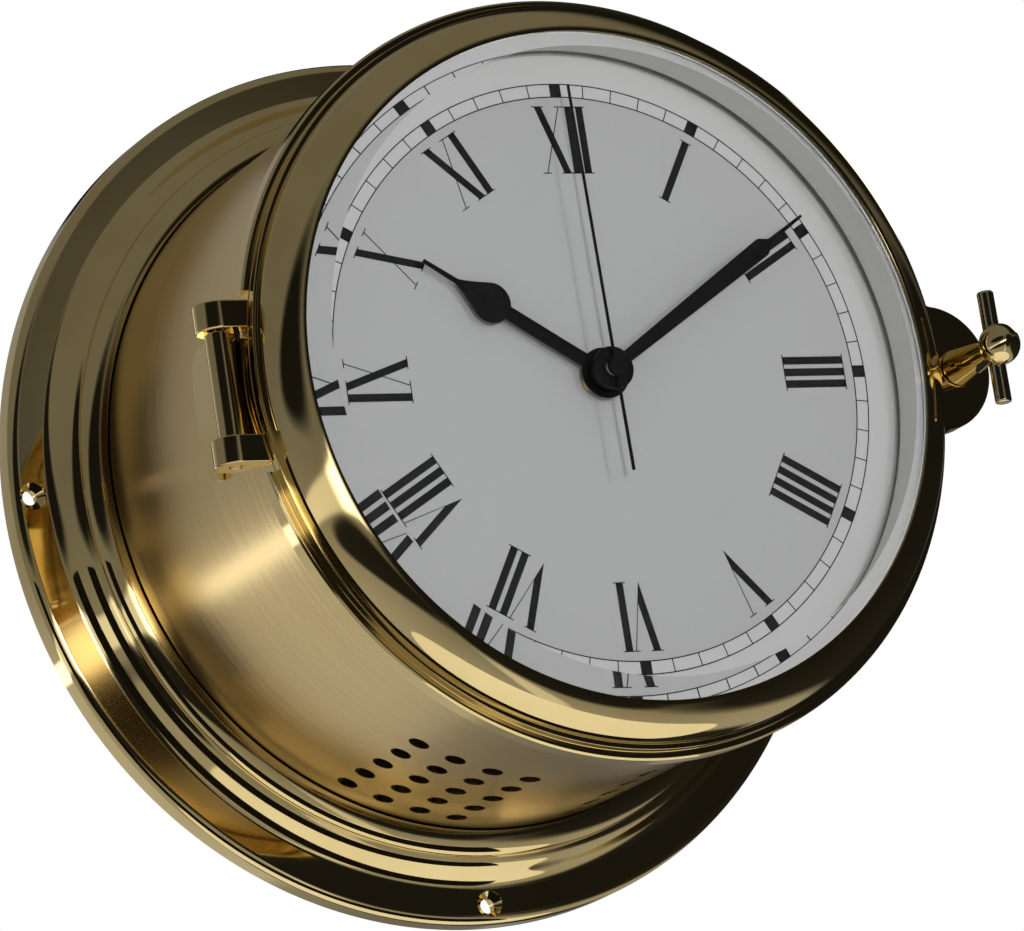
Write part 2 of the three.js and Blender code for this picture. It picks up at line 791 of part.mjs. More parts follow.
function makeThumbScrew() {
  const tip = skirtFront - screwTipLength;
  const coneRear = skirtFront + gap;
  const neckAngle = 180 - THREE.MathUtils.radToDeg(Math.asin(coneTop / ballRadius));
  const ball = arc(ballDepth, 0, ballRadius, neckAngle, 0, 10).map(([depth, radius]) => [radius, depth]);
  const body = turned([
    [0, tip], [threadRadius - screwNose, tip], [threadRadius, tip + screwNose],
    [threadRadius, clipRear - gap], [grooveRadius, clipRear - gap], [grooveRadius, clipFront + gap],
    [shankRadius, clipFront + gap], [shankRadius, coneRear], [coneBase, coneRear],
    [coneBase, coneRear + coneFoot], ...ball.slice(0, -1), [0, ballDepth + ballRadius],
  ], 20);
  const barHole = uprightRod(barRadius + pressGap, -ballRadius - past, ballRadius + past, 16);
  return cut(body, barHole.translate(0, -barDepth, 0));
}

function makeCrossBar() {
  const half = barLength / 2;
  const bar = turnedUpright([
    [0, -half], [barRadius - barNose, -half], [barRadius, -half + barNose],
    [barRadius, half - barNose], [barRadius - barNose, half], [0, half],
  ], 16);
  return bar.translate(0, -barDepth, 0);
}

function makeClip() {
  return tube(clipInner, clipRadius, clipRear, clipFront, 20);
}

screwGroup.position.set(screwX, 0, 0);
addPiece(screwGroup, 'thumb_screw', makeThumbScrew(), 'brass');
addPiece(screwGroup, 'cross_bar', makeCrossBar(), 'brass');
addPiece(screwGroup, 'screw_clip', makeClip(), 'steel');

// Wheel work

// A wheel or pinion with pointed teeth; phase is the direction of one tooth, in degrees
function gearShape(count, size, phase, bore) {
  const pitchRadius = count * size / 2;
  const points = [];
  for (let index = 0; index < count; index += 1) {
    const tip = phase + index * 360 / count;
    points.push(onPlan(pitchRadius + toothTip * size, tip));
    points.push(onPlan(pitchRadius - toothRoot * size, tip + 180 / count));
  }
  const shape = polygon(points);
  if (bore > 0) shape.holes.push(roundHole(0, 0, bore, 12));
  return shape;
}

function gear(name, size, phase, bore = 0) {
  const [rear, front] = layers[name];
  return plate(gearShape(teeth[name], size, phase, bore), inside - rear, inside - front);
}

// Tooth size that lets two wheels mesh at a distance
function toothSize(distance, first, second) {
  return 2 * (distance - meshPlay) / (first + second);
}

// Phase of a wheel whose gap takes the tooth that points at it along a direction
function meshed(direction, count) {
  return direction + 180 + 180 / count;
}

const thirdPlace = onPlan(thirdDistance, thirdDirection);
const minuteWheelPlace = onPlan(motionDistance, motionDirection);
const setPlace = onPlan(2 * motionDistance, motionDirection);
const driverPlace = onPlan(driverDistance, driverDirection);
const rotorPlace = onPlan(rotorDistance, rotorDirection, driverPlace);

const centreSize = toothSize(thirdDistance, teeth.centreWheel, teeth.thirdPinion);
const thirdSize = toothSize(thirdDistance, teeth.thirdWheel, teeth.secondsPinion);
const cannonSize = toothSize(motionDistance, teeth.cannonPinion, teeth.minuteWheel);
const hourSize = toothSize(motionDistance, teeth.hourWheel, teeth.minutePinion);
const secondsSize = toothSize(driverDistance, teeth.secondsWheel, teeth.driverPinion);
const rotorSize = toothSize(rotorDistance, teeth.driverWheel, teeth.rotorPinion);

function makeSecondsWheel() {
  return joined(
    rod(secondsArbor, shellRear, secondHandRear + secondHubHeight / 2, 12),
    gear('secondsPinion', thirdSize, thirdDirection),
    gear('secondsWheel', secondsSize, driverDirection),
  );
}

function makeThirdWheel() {
  return joined(
    rod(trainArbor, shellRear, inside - gap, 12),
    gear('thirdPinion', centreSize, meshed(thirdDirection, teeth.thirdPinion)),
    gear('thirdWheel', thirdSize, meshed(thirdDirection, teeth.thirdWheel)),
  );
}

function makeCentreWheel() {
  const bore = secondsArbor + gap;
  return joined(
    tube(bore, minutePipe, inside - layers.thirdPinion[0], minuteHandFront - pipeSink, 12),
    gear('centreWheel', centreSize, thirdDirection, minutePipe - pipeBite),
    gear('cannonPinion', cannonSize, motionDirection, minutePipe - pipeBite),
  );
}

function makeMinuteWheel() {
  const bore = trainArbor + gap;
  const wheelPhase = meshed(motionDirection, teeth.minuteWheel);
  const pinionPhase = meshed(motionDirection, teeth.minutePinion);
  return joined(
    gear('minuteWheel', cannonSize, wheelPhase, bore),
    gear('minutePinion', hourSize, pinionPhase, bore),
  );
}

function makeHourWheel() {
  const bore = minutePipe + gap;
  return joined(
    tube(bore, hourPipe, inside - layers.hourWheel[0], hourHandFront - pipeSink, 16),
    gear('hourWheel', hourSize, motionDirection, hourPipe - pipeBite),
  );
}

function makeDriverWheel() {
  return joined(
    rod(fineArbor, shellRear, inside - layers.driverArborFront, 12),
    gear('driverPinion', secondsSize, meshed(driverDirection, teeth.driverPinion)),
    gear('driverWheel', rotorSize, rotorDirection),
  );
}

function makeRotor() {
  return joined(
    rod(rotorArbor, shellRear, inside - layers.rotorArborFront, 12),
    gear('rotorPinion', rotorSize, meshed(rotorDirection, teeth.rotorPinion)),
    rod(rotorRadius, inside - layers.rotorMagnet[0], inside - layers.rotorMagnet[1], 20),
  );
}

function makeSettingKnob() {
  const knobFront = plateRear - gap;
  return joined(
    rod(settingArbor, knobFront - knobHeight / 2, inside - gap, 12),
    gear('setPinion', cannonSize, motionDirection + 180),
    rod(knobRadius, knobFront - knobHeight, knobFront, 14),
  );
}

addPiece(movementGroup, 'seconds_wheel', makeSecondsWheel(), 'wheelPlastic');
addPiece(movementGroup, 'third_wheel', makeThirdWheel(), 'wheelPlastic', thirdPlace);
addPiece(movementGroup, 'centre_wheel', makeCentreWheel(), 'brass');
addPiece(movementGroup, 'minute_wheel', makeMinuteWheel(), 'wheelPlastic', minuteWheelPlace);
addPiece(movementGroup, 'hour_wheel', makeHourWheel(), 'wheelPlastic');
addPiece(movementGroup, 'driver_wheel', makeDriverWheel(), 'wheelPlastic', driverPlace);
addPiece(movementGroup, 'motor_rotor', makeRotor(), 'darkSteel', rotorPlace);
addPiece(movementGroup, 'setting_knob', makeSettingKnob(), 'plastic', setPlace);

// Movement case, motor and electrics

function makeFrontShell() {
  const block = box(-movementHalf, movementHalf, shellRear, movementFront, movementBottom, movementHalf);
  const chamber = box(-wallInside, wallInside, shellRear - past, inside, chamberFloor, wallInside);
  const bay = box(-wallInside, wallInside, shellRear - past, inside, bayFloor, bayTop);
  const bushing = rod(bushingRadius, movementFront - rootBite, bushingFront, 20);
  const stud = rod(trainArbor, inside - studLength, inside + rootBite, 12);
  const bore = rod(hourPipe + gap, inside - past, bushingFront + past, 16);
  const [studX, studZ] = minuteWheelPlace;
  return cut(joined(cut(block, chamber, bay), bushing, stud.translate(studX, 0, studZ)), bore);
}

function makeRearShell() {
  const sheet = box(-movementHalf, movementHalf, plateRear, plateFront, bayTop, movementHalf);
  const knobHole = rod(settingArbor + gap, plateRear - past, plateFront + past, 12);
  const post = rod(postRadius, plateFront - rootBite, statorRear - gap, 12);
  const posts = statorPosts.map(([x, z]) => post.clone().translate(x, 0, z));
  return cut(joined(sheet, ...posts), knobHole.translate(setPlace[0], 0, setPlace[1]));
}

// Pole plate: a frame whose right-hand limb carries the coil and whose left-hand part holds the rotor
function makeStator() {
  const [left, right, bottom, top] = [statorLeft, coilX + coilLimb / 2, statorBottom, statorTop];
  const outline = polygon([[left, bottom], [right, bottom], [right, top], [left, top]]);
  const windowLeft = rotorPlace[0] + rotorRadius + statorBridge;
  const [low, high] = [bottom + statorArm, top - statorArm];
  const windowRight = coilX - coilLimb / 2;
  outline.holes.push(new THREE.Path([
    new THREE.Vector2(windowLeft, low), new THREE.Vector2(windowLeft, high),
    new THREE.Vector2(windowRight, high), new THREE.Vector2(windowRight, low),
  ]));
  outline.holes.push(roundHole(...rotorPlace, rotorRadius + rotorPlay, 20));
  return plate(outline, statorRear, statorRear + statorThickness);
}

function makeCoil() {
  const bore = Math.hypot(coilLimb, statorThickness) / 2 + gap;
  const [low, high] = [statorBottom + statorArm + gap, statorTop - statorArm - gap];
  const winding = coilRadius - coilStep;
  return turnedUpright([
    [bore, low], [coilRadius, low], [coilRadius, low + coilCheek], [winding, low + coilCheek],
    [winding, high - coilCheek], [coilRadius, high - coilCheek], [coilRadius, high], [bore, high],
  ], 20);
}

function makeBoard() {
  const corner = wallInside - gap;
  const front = shellRear + boardThickness;
  const sheet = box(boardLeft, corner, shellRear, front, boardBottom, corner);
  const chip = rod(chipRadius, front - pipeBite, front + chipHeight, 12);
  return joined(sheet, chip.translate(chipPlace[0], 0, chipPlace[1]));
}

function sidewaysRod(radius, left, right, sides) {
  return lathe([[0, left], [radius, left], [radius, right], [0, right]], sides).rotateZ(-Math.PI / 2);
}

function makeBattery() {
  const half = batteryLength / 2;
  const body = sidewaysRod(batteryRadius, -half - batteryNub / 2, half - batteryNub / 2, 24);
  const nub = sidewaysRod(batteryNubRadius, 0, half + batteryNub / 2, 12);
  return joined(body, nub);
}

function makeContact(side) {
  const outer = batteryRoom - gap;
  const height = batteryRadius - contactInset;
  const near = Math.min(side * outer, side * (outer - contactThickness));
  return box(near, near + contactThickness, -height, height, -height, height);
}

function makeWasher() {
  const rear = movementFront + gap;
  return tube(bushingRadius + gap, washerRadius, rear, rear + washerThickness, 24);
}

function makeHexNut() {
  const rear = dialFront + gap;
  return hexagonNut(bushingRadius + gap, nutRadius, rear, rear + nutHeight);
}

const crystalDepth = shellRear + boardThickness + gap + crystalRadius;
const crystal = sidewaysRod(crystalRadius, -crystalLength / 2, crystalLength / 2, 12);
addPiece(movementGroup, 'movement_front_shell', makeFrontShell(), 'plastic');
addPiece(movementGroup, 'movement_rear_shell', makeRearShell(), 'plastic');
addPiece(movementGroup, 'motor_stator', makeStator(), 'steel');
addPiece(movementGroup, 'motor_coil', makeCoil(), 'copper', [coilX, 0], statorRear + statorThickness / 2);
addPiece(movementGroup, 'circuit_board', makeBoard(), 'board');
addPiece(movementGroup, 'quartz_crystal', crystal, 'steel', crystalPlace, crystalDepth);
addPiece(movementGroup, 'battery', makeBattery(), 'cell', batteryPlace, batteryDepth);
addPiece(movementGroup, 'battery_contact_positive', makeContact(1), 'steel', batteryPlace, batteryDepth);
addPiece(movementGroup, 'battery_contact_negative', makeContact(-1), 'steel', batteryPlace, batteryDepth);
addPiece(movementGroup, 'fixing_washer', makeWasher(), 'rubber');
addPiece(movementGroup, 'fixing_nut', makeHexNut(), 'brass');

// Hands, drawn pointing at twelve and turned to their clock angles

function pointed(rightSide) {
  const leftSide = rightSide.slice().reverse().map(([x, z]) => [-x, z]);
  return polygon([...rightSide, ...leftSide]);
}

function hourHandShape() {
  const tip = dialRadius - hourTipInset;
  const armAngle = THREE.MathUtils.radToDeg(Math.acos(hourHalf / hourBulbRadius));
  const bulb = arc(0, hourBulbAt, hourBulbRadius, -armAngle, 28, 8);
  const taper = new THREE.QuadraticBezierCurve(
    new THREE.Vector2(...bulb[bulb.length - 1]),
    new THREE.Vector2(hourNeck, hourBulbAt + 1.5 * hourBulbRadius),
    new THREE.Vector2(hourNeedle, hourBulbAt + 2 * hourBulbRadius),
  );
  return pointed([[hourHalf, 0], ...bulb, ...curvePoints(taper, 4).slice(1), [hourTip, tip]]);
}

function minuteHandShape() {
  const tip = dialRadius - minuteTipInset;
  const shoulder = dialRadius - minuteShoulderInset;
  return pointed([
    [minuteRootHalf, 0], [minuteShoulderHalf, shoulder],
    [minuteNeedle, shoulder + shoulderLength], [minuteTip, tip],
  ]);
}

function secondHandShape() {
  const tip = dialRadius - secondTipInset;
  return pointed([[secondHalf, -secondTail], [secondHalf, tip]]);
}

function makeHourHand() {
  const blade = plate(hourHandShape(), hourHandRear, hourHandFront);
  const hub = rod(hourHubRadius, hourHandRear, hourHandFront, 32);
  return cut(joined(blade, hub), rod(hourPipe + gap, hourHandRear - past, hourHandFront + past, 16));
}

function makeMinuteHand() {
  const blade = plate(minuteHandShape(), minuteHandRear, minuteHandFront);
  const hub = rod(minuteHubRadius, minuteHandRear, minuteHandFront, 32);
  const collar = rod(minuteCollarRadius, hourHandFront + gap, minuteHandFront, 32);
  return cut(joined(blade, hub, collar), rod(minutePipe + gap, hourHandFront, minuteHandFront + past, 16));
}

function makeSecondHand() {
  const bore = secondsArbor + gap;
  const capFront = secondHandRear + secondHubHeight;
  const hub = turned([
    [bore, secondHandRear], [secondHubRadius, secondHandRear], [secondHubRadius, capFront],
    [0, capFront], [0, capFront - secondCap], [bore, capFront - secondCap],
  ], 20);
  const bladeRear = secondHandRear + secondBladeRear;
  const blade = plate(secondHandShape(), bladeRear, bladeRear + secondBladeThickness);
  const middle = (bore + secondHubRadius) / 2;
  return joined(cut(blade, rod(middle, secondHandRear - past, capFront, 20)), hub);
}

function atClockAngle(geometry, angle) {
  return geometry.rotateY(radians(angle));
}

addPiece(movementGroup, 'hour_hand', atClockAngle(makeHourHand(), hourHandAngle), 'handBlack');
addPiece(movementGroup, 'minute_hand', atClockAngle(makeMinuteHand(), minuteHandAngle), 'handBlack');
addPiece(movementGroup, 'second_hand', atClockAngle(makeSecondHand(), secondHandAngle), 'handBlack');

// Loudspeaker, turned about an upright axis

function makeSpeakerFrame() {
  const back = speakerHeight - speakerBackWall;
  const rimInner = speakerRadius - speakerRimWidth;
  const neck = magnetRadius + pipeBite;
  return turnedUpright([
    [speakerRadius, 0], [speakerRadius, speakerRim], [rimInner + basketStep, speakerRim], [neck, back],
    [neck, speakerHeight], [speakerBore, speakerHeight], [speakerBore, back],
    [neck - basketStep, back], [rimInner, speakerBackWall], [rimInner, 0],
  ], 24);
}

function makeSpeakerCone() {
  const rim = speakerRadius - coneInset;
  const apex = speakerHeight - coneRearInset;
  return turnedUpright([
    [rim, pipeSink], [rim, pipeSink + coneSheet], [coneApex, apex], [0, apex],
    [0, apex - coneSheet], [coneApex - pipeSink, apex - coneSheet], [rim - coneSheet, pipeSink],
  ], 24);
}

function makeMagnet() {
  const base = speakerHeight + gap;
  return uprightRod(magnetRadius, base, base + magnetHeight, 24);
}

// Cradle that grips the rim of the loudspeaker at its front and rear and stands on the drum
function makeSpeakerBracket() {
  const armInside = speakerRadius + gap;
  const armOutside = armInside + bracketWall;
  const footTop = -drumInner + bracketFoot;
  const ledge = speakerFloor - gap;
  const hook = speakerFloor + speakerRim + gap;
  const hookInside = armInside - bracketHook;
  const ledgeInside = armInside - bracketLedge;
  const side = [
    [armOutside, -drumRadius], [armOutside, hook + hookHeight], [hookInside, hook + hookHeight],
    [hookInside, hook], [armInside, hook], [armInside, ledge], [ledgeInside, ledge],
    [ledgeInside, ledge - ledgeHeight], [armInside, ledge - ledgeHeight], [armInside, footTop],
  ];
  const mirror = side.slice().reverse().map(([y, z]) => [-y, z]);
  const cradle = sidewaysPrism(polygon([...side, ...mirror]), -bracketHalf, bracketHalf);
  const drumSpace = rod(drumInner - gap, 0, 2 * speakerDepth, ringSides);
  return common(cradle.translate(0, -speakerDepth, 0), drumSpace);
}

addPiece(speakerGroup, 'speaker_frame', makeSpeakerFrame(), 'steel', [0, speakerFloor], speakerDepth);
addPiece(speakerGroup, 'speaker_cone', makeSpeakerCone(), 'paper', [0, speakerFloor], speakerDepth);
addPiece(speakerGroup, 'speaker_magnet', makeMagnet(), 'darkSteel', [0, speakerFloor], speakerDepth);
addPiece(speakerGroup, 'speaker_bracket', makeSpeakerBracket(), 'plastic');

export default clock;
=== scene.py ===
# The looks of a ship's clock: a brushed brass drum on a moulded wall flange, a polished bezel with a
# bevelled glass, a printed dial with three hands, a hinge at nine o'clock and a thumb screw at three.
# Sizes are in millimetres until they reach a mesh, and the studio is in metres. The dial faces -Y and
# "depth" is the distance in front of the wall. Clock angles start at twelve and grow clockwise as seen
# from the front.
import math

import bmesh
import bpy
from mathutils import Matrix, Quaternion, Vector


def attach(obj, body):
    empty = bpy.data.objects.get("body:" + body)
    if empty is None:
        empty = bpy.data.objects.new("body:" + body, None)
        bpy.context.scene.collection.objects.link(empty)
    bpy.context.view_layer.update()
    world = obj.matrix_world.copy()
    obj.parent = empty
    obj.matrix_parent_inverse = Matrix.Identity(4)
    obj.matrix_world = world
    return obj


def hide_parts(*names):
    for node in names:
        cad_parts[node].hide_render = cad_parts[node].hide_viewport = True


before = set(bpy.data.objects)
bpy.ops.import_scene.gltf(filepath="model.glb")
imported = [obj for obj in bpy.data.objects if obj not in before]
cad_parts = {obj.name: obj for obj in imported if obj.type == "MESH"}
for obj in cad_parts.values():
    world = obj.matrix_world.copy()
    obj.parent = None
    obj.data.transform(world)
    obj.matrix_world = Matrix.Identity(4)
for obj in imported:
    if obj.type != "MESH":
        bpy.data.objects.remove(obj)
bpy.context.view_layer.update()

MM = 0.001
TURN = 2 * math.pi

# Room between pieces that touch or turn against each other
gap = 0.3

# Drum and sound holes
drum_radius, drum_inner = 72.8, 71.2
drum_rear, drum_front = 4.9, 82.6
sound_hole_radius, sound_hole_pitch = 2.05, 8.0
sound_hole_rows, sound_holes_per_row = 4, 5
sound_first_row, sound_first_depth = 13.0, 22.0
drill_length = 8.0

# Flange
flange_radius, edge_round, edge_depth = 90.0, 1.9, 5.7
band_depth, moulding_foot = 6.2, 83.3
quirk_radius, ledge_radius, cove_top, ledge_depth = 77.8, 78.2, 11.1, 11.3
ovolo_width, ovolo_height = 4.2, 3.2
skirt_inner = 73.1
web_inner, web_rear, cover_seat = 64.0, 2.3, 70.0
wall_screw_circle, wall_screw_radius, wall_screw_sink = 86.3, 1.5, 2.8
wall_screw_rim, wall_screw_land = band_depth - 0.25, 1.9
cover_thickness, cover_radius, cover_screw_circle = 2.0, 69.7, 65.8
wall_screw_clocks, cover_screw_clocks = (0, 90, 180, 270), (45, 135, 225, 315)
cover_screw_head, cover_screw_radius, cover_screw_length = 2.2, 1.1, 4.1
cover_panel, panel_depth, panel_groove = 58.0, 0.5, 0.9

# Bezel
skirt_rear, skirt_front, skirt_outer = 79.7, 83.4, 75.5
collar_radius, crown_rear, crown_radius = 73.9, 85.4, 72.9
dome_centre, dome_base, dome_radius = 65.9, 85.5, 7.0
lip_inner, lip_under = 66.05, 92.3
glass_seat, retainer_bore, retainer_stop, bezel_floor = 67.35, 69.35, 87.2, 82.9
notch_half = 17.5

# Glass and what holds it
glass_radius, glass_flat, glass_rear, glass_front, bevel_angle = 67.05, 62.25, 89.9, 94.9, 37.0
gasket_inner, gasket_rear, gasket_front = 66.05, 88.9, 89.6
retainer_inner, retainer_rear, retainer_front = 65.2, 81.2, 89.6
retainer_outer, retainer_shoulder, retainer_neck, retainer_rim = 69.05, 86.9, 88.6, 65.75

# Dial and printing
dial_radius, dial_rear, dial_front, dial_bore = 64.6, 79.05, 80.25, 3.9
foot_circle, foot_radius, foot_rear = 61.0, 1.2, 73.8
print_rear, print_thickness = dial_front + 0.004, 0.04
track_outer, track_inner, track_line = 58.7, 56.1, 0.22
tick_width, block_width = 0.2, 2.4
numeral_inner, numeral_outer = 40.6, 54.2
thick_stroke, hair_stroke, serif_reach, hair_serif = 1.55, 0.2, 1.28, 0.9
leg_foot, leg_span, hair_shift = 1.95, 4.6, 0.1

# Hands
hand_thickness = 0.5
hour_hand_rear, minute_hand_rear, second_hand_rear = 82.1, 85.6, 86.55
hour_clock, minute_clock, second_clock = -57.2, 57.3, -0.8
hour_hub, hour_bore, minute_hub, minute_bore = 5.0, 2.7, 4.2, 1.8
minute_collar, minute_collar_rear = 3.8, 82.9
hour_stem, bulb_centre, bulb_radius, hour_tip = 1.4, 26.2, 4.0, 41.9
second_tail, second_tip, second_half, second_thickness, second_lift = 20.5, 56.4, 0.3, 0.3, 0.2
second_cap, second_cap_bore, second_cap_height, second_seat = 1.8, 0.9, 1.1, 1.4

# Clamp
screw_x, lug_x, lug_radius, lug_fillet = 79.7, 74.0, 12.7, 2.0
shank_radius, thread_radius, groove_radius = 2.0, 1.9, 1.4
screw_tip, clip_rear, clip_front = 71.2, 75.2, 76.0
cone_rear, cone_base, cone_foot, cone_top = 83.7, 3.8, 0.6, 2.2
ball_depth, ball_radius = 99.2, 4.1
bar_depth, bar_radius, bar_half = 97.2, 1.65, 11.3


# Node graphs


def tone(red, green, blue):
    return (red, green, blue, 1.0)


class Wire:
    """A socket's value. Sums written with it add Math nodes."""

    def __init__(self, graph, socket):
        self.graph, self.socket = graph, socket

    def out(self, key):
        return Wire(self.graph, self.socket.node.outputs[key])

    def maths(self, operation, *others, first=None):
        terms = ([first] if first is not None else []) + [self, *others]
        return self.graph.node("ShaderNodeMath", {"operation": operation}, dict(enumerate(terms)))

    def __add__(self, other):
        return self.maths("ADD", other)

    def __sub__(self, other):
        return self.maths("SUBTRACT", other)

    def __mul__(self, other):
        return self.maths("MULTIPLY", other)

    def __truediv__(self, other):
        return self.maths("DIVIDE", other)

    def __rsub__(self, other):
        return self.maths("SUBTRACT", first=other)

    def __rtruediv__(self, other):
        return self.maths("DIVIDE", first=other)

    __radd__, __rmul__ = __add__, __mul__

    def __mod__(self, other):
        return self.maths("FLOORED_MODULO", other)

    def floor(self):
        return self.maths("FLOOR")

    def sine(self):
        return self.maths("SINE")

    def cosine(self):
        return self.maths("COSINE")

    def size(self):
        return self.maths("ABSOLUTE")

    def over(self, other):
        return self.maths("GREATER_THAN", other)

    def ramp(self, low, high):
        """0 below low and 1 above high, with a soft step between them."""
        return self.graph.node(
            "ShaderNodeMapRange", {"interpolation_type": "SMOOTHSTEP"},
            {"Value": self, "From Min": low, "From Max": high},
        )


class Graph:
    """The nodes of one tree."""

    def __init__(self, tree):
        self.tree = tree

    def node(self, kind, settings=None, sockets=None, out=0):
        made = self.tree.nodes.new(kind)
        for key, value in (settings or {}).items():
            setattr(made, key, value)
        for key, value in (sockets or {}).items():
            if isinstance(value, Wire):
                self.tree.links.new(value.socket, made.inputs[key])
            else:
                made.inputs[key].default_value = value
        return Wire(self, made.outputs[out] if made.outputs else None)

    def joined(self, kind, key, wires):
        made = self.tree.nodes.new(kind)
        for wire in wires:
            self.tree.links.new(wire.socket, made.inputs[key])
        return Wire(self, made.outputs[0])

    def parts(self, vector):
        split = self.node("ShaderNodeSeparateXYZ", {}, {0: vector})
        return split.out(0), split.out(1), split.out(2)

    def vector(self, x, y, z):
        return self.node("ShaderNodeCombineXYZ", {}, {0: x, 1: y, 2: z})

    def around(self, radius, angle, height):
        """The point at this radius and clock angle, and at this y."""
        return self.vector(radius * angle.sine(), height, radius * angle.cosine())

    def euler(self, x, y, z):
        return self.node("FunctionNodeEulerToRotation", {}, {0: self.vector(x, y, z)})

    def blend(self, share, *colours):
        """A mix of two colours, each a Wire or its red, green and blue."""
        first, second = (c if isinstance(c, Wire) else tone(*c) for c in colours)
        return self.node(
            "ShaderNodeMix", {"data_type": "RGBA"}, {0: share, 6: first, 7: second}, out=2
        )


# Pieces


def shown(name, mesh):
    piece = bpy.data.objects.new(name, mesh)
    bpy.context.scene.collection.objects.link(piece)
    return piece


def settled(piece):
    """Turns what the piece's modifiers make into its plain mesh."""
    bpy.context.view_layer.update()
    seen = bpy.context.evaluated_depsgraph_get()
    mesh = bpy.data.meshes.new_from_object(
        piece.evaluated_get(seen), preserve_all_data_layers=True, depsgraph=seen
    )
    piece.modifiers.clear()
    old, piece.data = piece.data, mesh
    bpy.data.meshes.remove(old)
    return piece


def grown(piece, tree, values):
    """Runs a geometry tree on the piece with its named inputs set."""
    change = piece.modifiers.new("grown", "NODES")
    change.node_group = tree
    for item in tree.interface.items_tree:
        if item.item_type == "SOCKET" and item.in_out == "INPUT" and item.name in values:
            change[item.identifier] = values[item.name]
    return settled(piece)


def carved(piece, tool, how="DIFFERENCE"):
    """Cuts a tool out of the piece, or joins it on, and throws the tool away."""
    change = piece.modifiers.new("carved", "BOOLEAN")
    change.object, change.operation, change.solver = tool, how, "EXACT"
    settled(piece)
    bpy.data.objects.remove(tool)
    return piece


def edged(piece, width, segments=2, above=40):
    """Rounds the piece's sharp edges."""
    change = piece.modifiers.new("edged", "BEVEL")
    change.width, change.segments = width * MM, segments
    change.limit_method, change.angle_limit = "ANGLE", math.radians(above)
    return settled(piece)


def welded(piece, flat=0):
    """Closes seams and poles and points the faces outwards."""
    work = bmesh.new()
    work.from_mesh(piece.data)
    bmesh.ops.remove_doubles(work, verts=work.verts, dist=0.001 * MM)
    bmesh.ops.dissolve_degenerate(work, dist=0.0002 * MM, edges=work.edges)
    if flat:
        bmesh.ops.dissolve_limit(
            work, angle_limit=math.radians(flat), verts=work.verts, edges=work.edges
        )
    loose = [edge for edge in work.edges if not edge.link_faces]
    bmesh.ops.delete(work, geom=loose, context="EDGES")
    bmesh.ops.delete(work, geom=[v for v in work.verts if not v.link_faces], context="VERTS")
    bmesh.ops.recalc_face_normals(work, faces=work.faces)
    work.to_mesh(piece.data)
    work.free()
    return piece


def finished(piece, finish, body, slot, *nodes, smooth=32):
    """Welds and shades a piece, gives it its finish, and sets it on its body in place of its nodes."""
    welded(piece)
    mesh = piece.data
    mesh.materials.clear()
    mesh.materials.append(finish)
    mesh.polygons.foreach_set("material_index", [0] * len(mesh.polygons))
    mesh.shade_smooth()
    mesh.set_sharp_from_angle(angle=math.radians(smooth))
    even = piece.modifiers.new("even", "WEIGHTED_NORMAL")
    even.keep_sharp = True
    settled(piece)
    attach(piece, body)
    if nodes:
        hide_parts(*nodes)


def slab(name, outlines, rear, front):
    """Flat plates parallel to the wall, from closed outlines of x and z."""
    work = bmesh.new()
    for outline in outlines:
        back, face = (
            [work.verts.new(Vector((x, -depth, z)) * MM) for x, z in outline]
            for depth in (rear, front)
        )
        work.faces.new(back)
        work.faces.new(face)
        for i in range(len(outline)):
            work.faces.new((back[i - 1], back[i], face[i], face[i - 1]))
    mesh = bpy.data.meshes.new(name)
    work.to_mesh(mesh)
    work.free()
    return welded(shown(name, mesh))


def oblong(left, right, low, high):
    return [(left, low), (right, low), (right, high), (left, high)]


def on_dial(radius, clock):
    angle = math.radians(clock)
    return radius * math.sin(angle), radius * math.cos(angle)


def at_clock(points, clock):
    """Points drawn with twelve upwards, turned to a clock angle."""
    angle = math.radians(clock)
    return [
        (x * math.cos(angle) + z * math.sin(angle), z * math.cos(angle) - x * math.sin(angle))
        for x, z in points
    ]


def arc(x, y, radius, start, end, steps, squash=1.0):
    turns = [math.radians(start + (end - start) * i / steps) for i in range(steps + 1)]
    return [(x + radius * math.cos(a), y + radius * squash * math.sin(a)) for a in turns]


def curve(points, steps):
    """A Bezier curve through its end points."""
    made = []
    for i in range(steps + 1):
        share, row = i / steps, [Vector(p) for p in points]
        while len(row) > 1:
            row = [a.lerp(b, share) for a, b in zip(row, row[1:])]
        made.append(tuple(row[0]))
    return made


def softened(outline, radius, steps=3, least=28):
    """Rounds the corners of a closed outline, apart from those on the axis."""
    made = []
    for i, corner in enumerate(outline):
        here = Vector(corner)
        before, after = (Vector(outline[j]) - here for j in (i - 1, (i + 1) % len(outline)))
        turn = math.pi - before.angle(after)
        if turn < math.radians(least) or here.x < 1e-6:
            made.append(corner)
            continue
        reach = min(radius * math.tan(turn / 2), 0.45 * before.length, 0.45 * after.length)
        start, end = here + before.normalized() * reach, here + after.normalized() * reach
        made += curve([start, here, end], steps)
    return made


# Geometry trees


def new_tree(name, *inputs):
    tree = bpy.data.node_groups.new(name, "GeometryNodeTree")
    tree.is_modifier = True
    tree.interface.new_socket("Geometry", in_out="INPUT", socket_type="NodeSocketGeometry")
    for label, kind in inputs:
        tree.interface.new_socket(label, in_out="INPUT", socket_type="NodeSocket" + kind)
    tree.interface.new_socket("Geometry", in_out="OUTPUT", socket_type="NodeSocketGeometry")
    graph = Graph(tree)
    return tree, graph, graph.node("NodeGroupInput")


def end_tree(graph, geometry, given):
    whole = graph.node("GeometryNodeRealizeInstances", {}, {0: geometry})
    painted = graph.node(
        "GeometryNodeSetMaterial", {}, {"Geometry": whole, "Material": given.out("Finish")}
    )
    graph.node("NodeGroupOutput", {}, {0: painted})


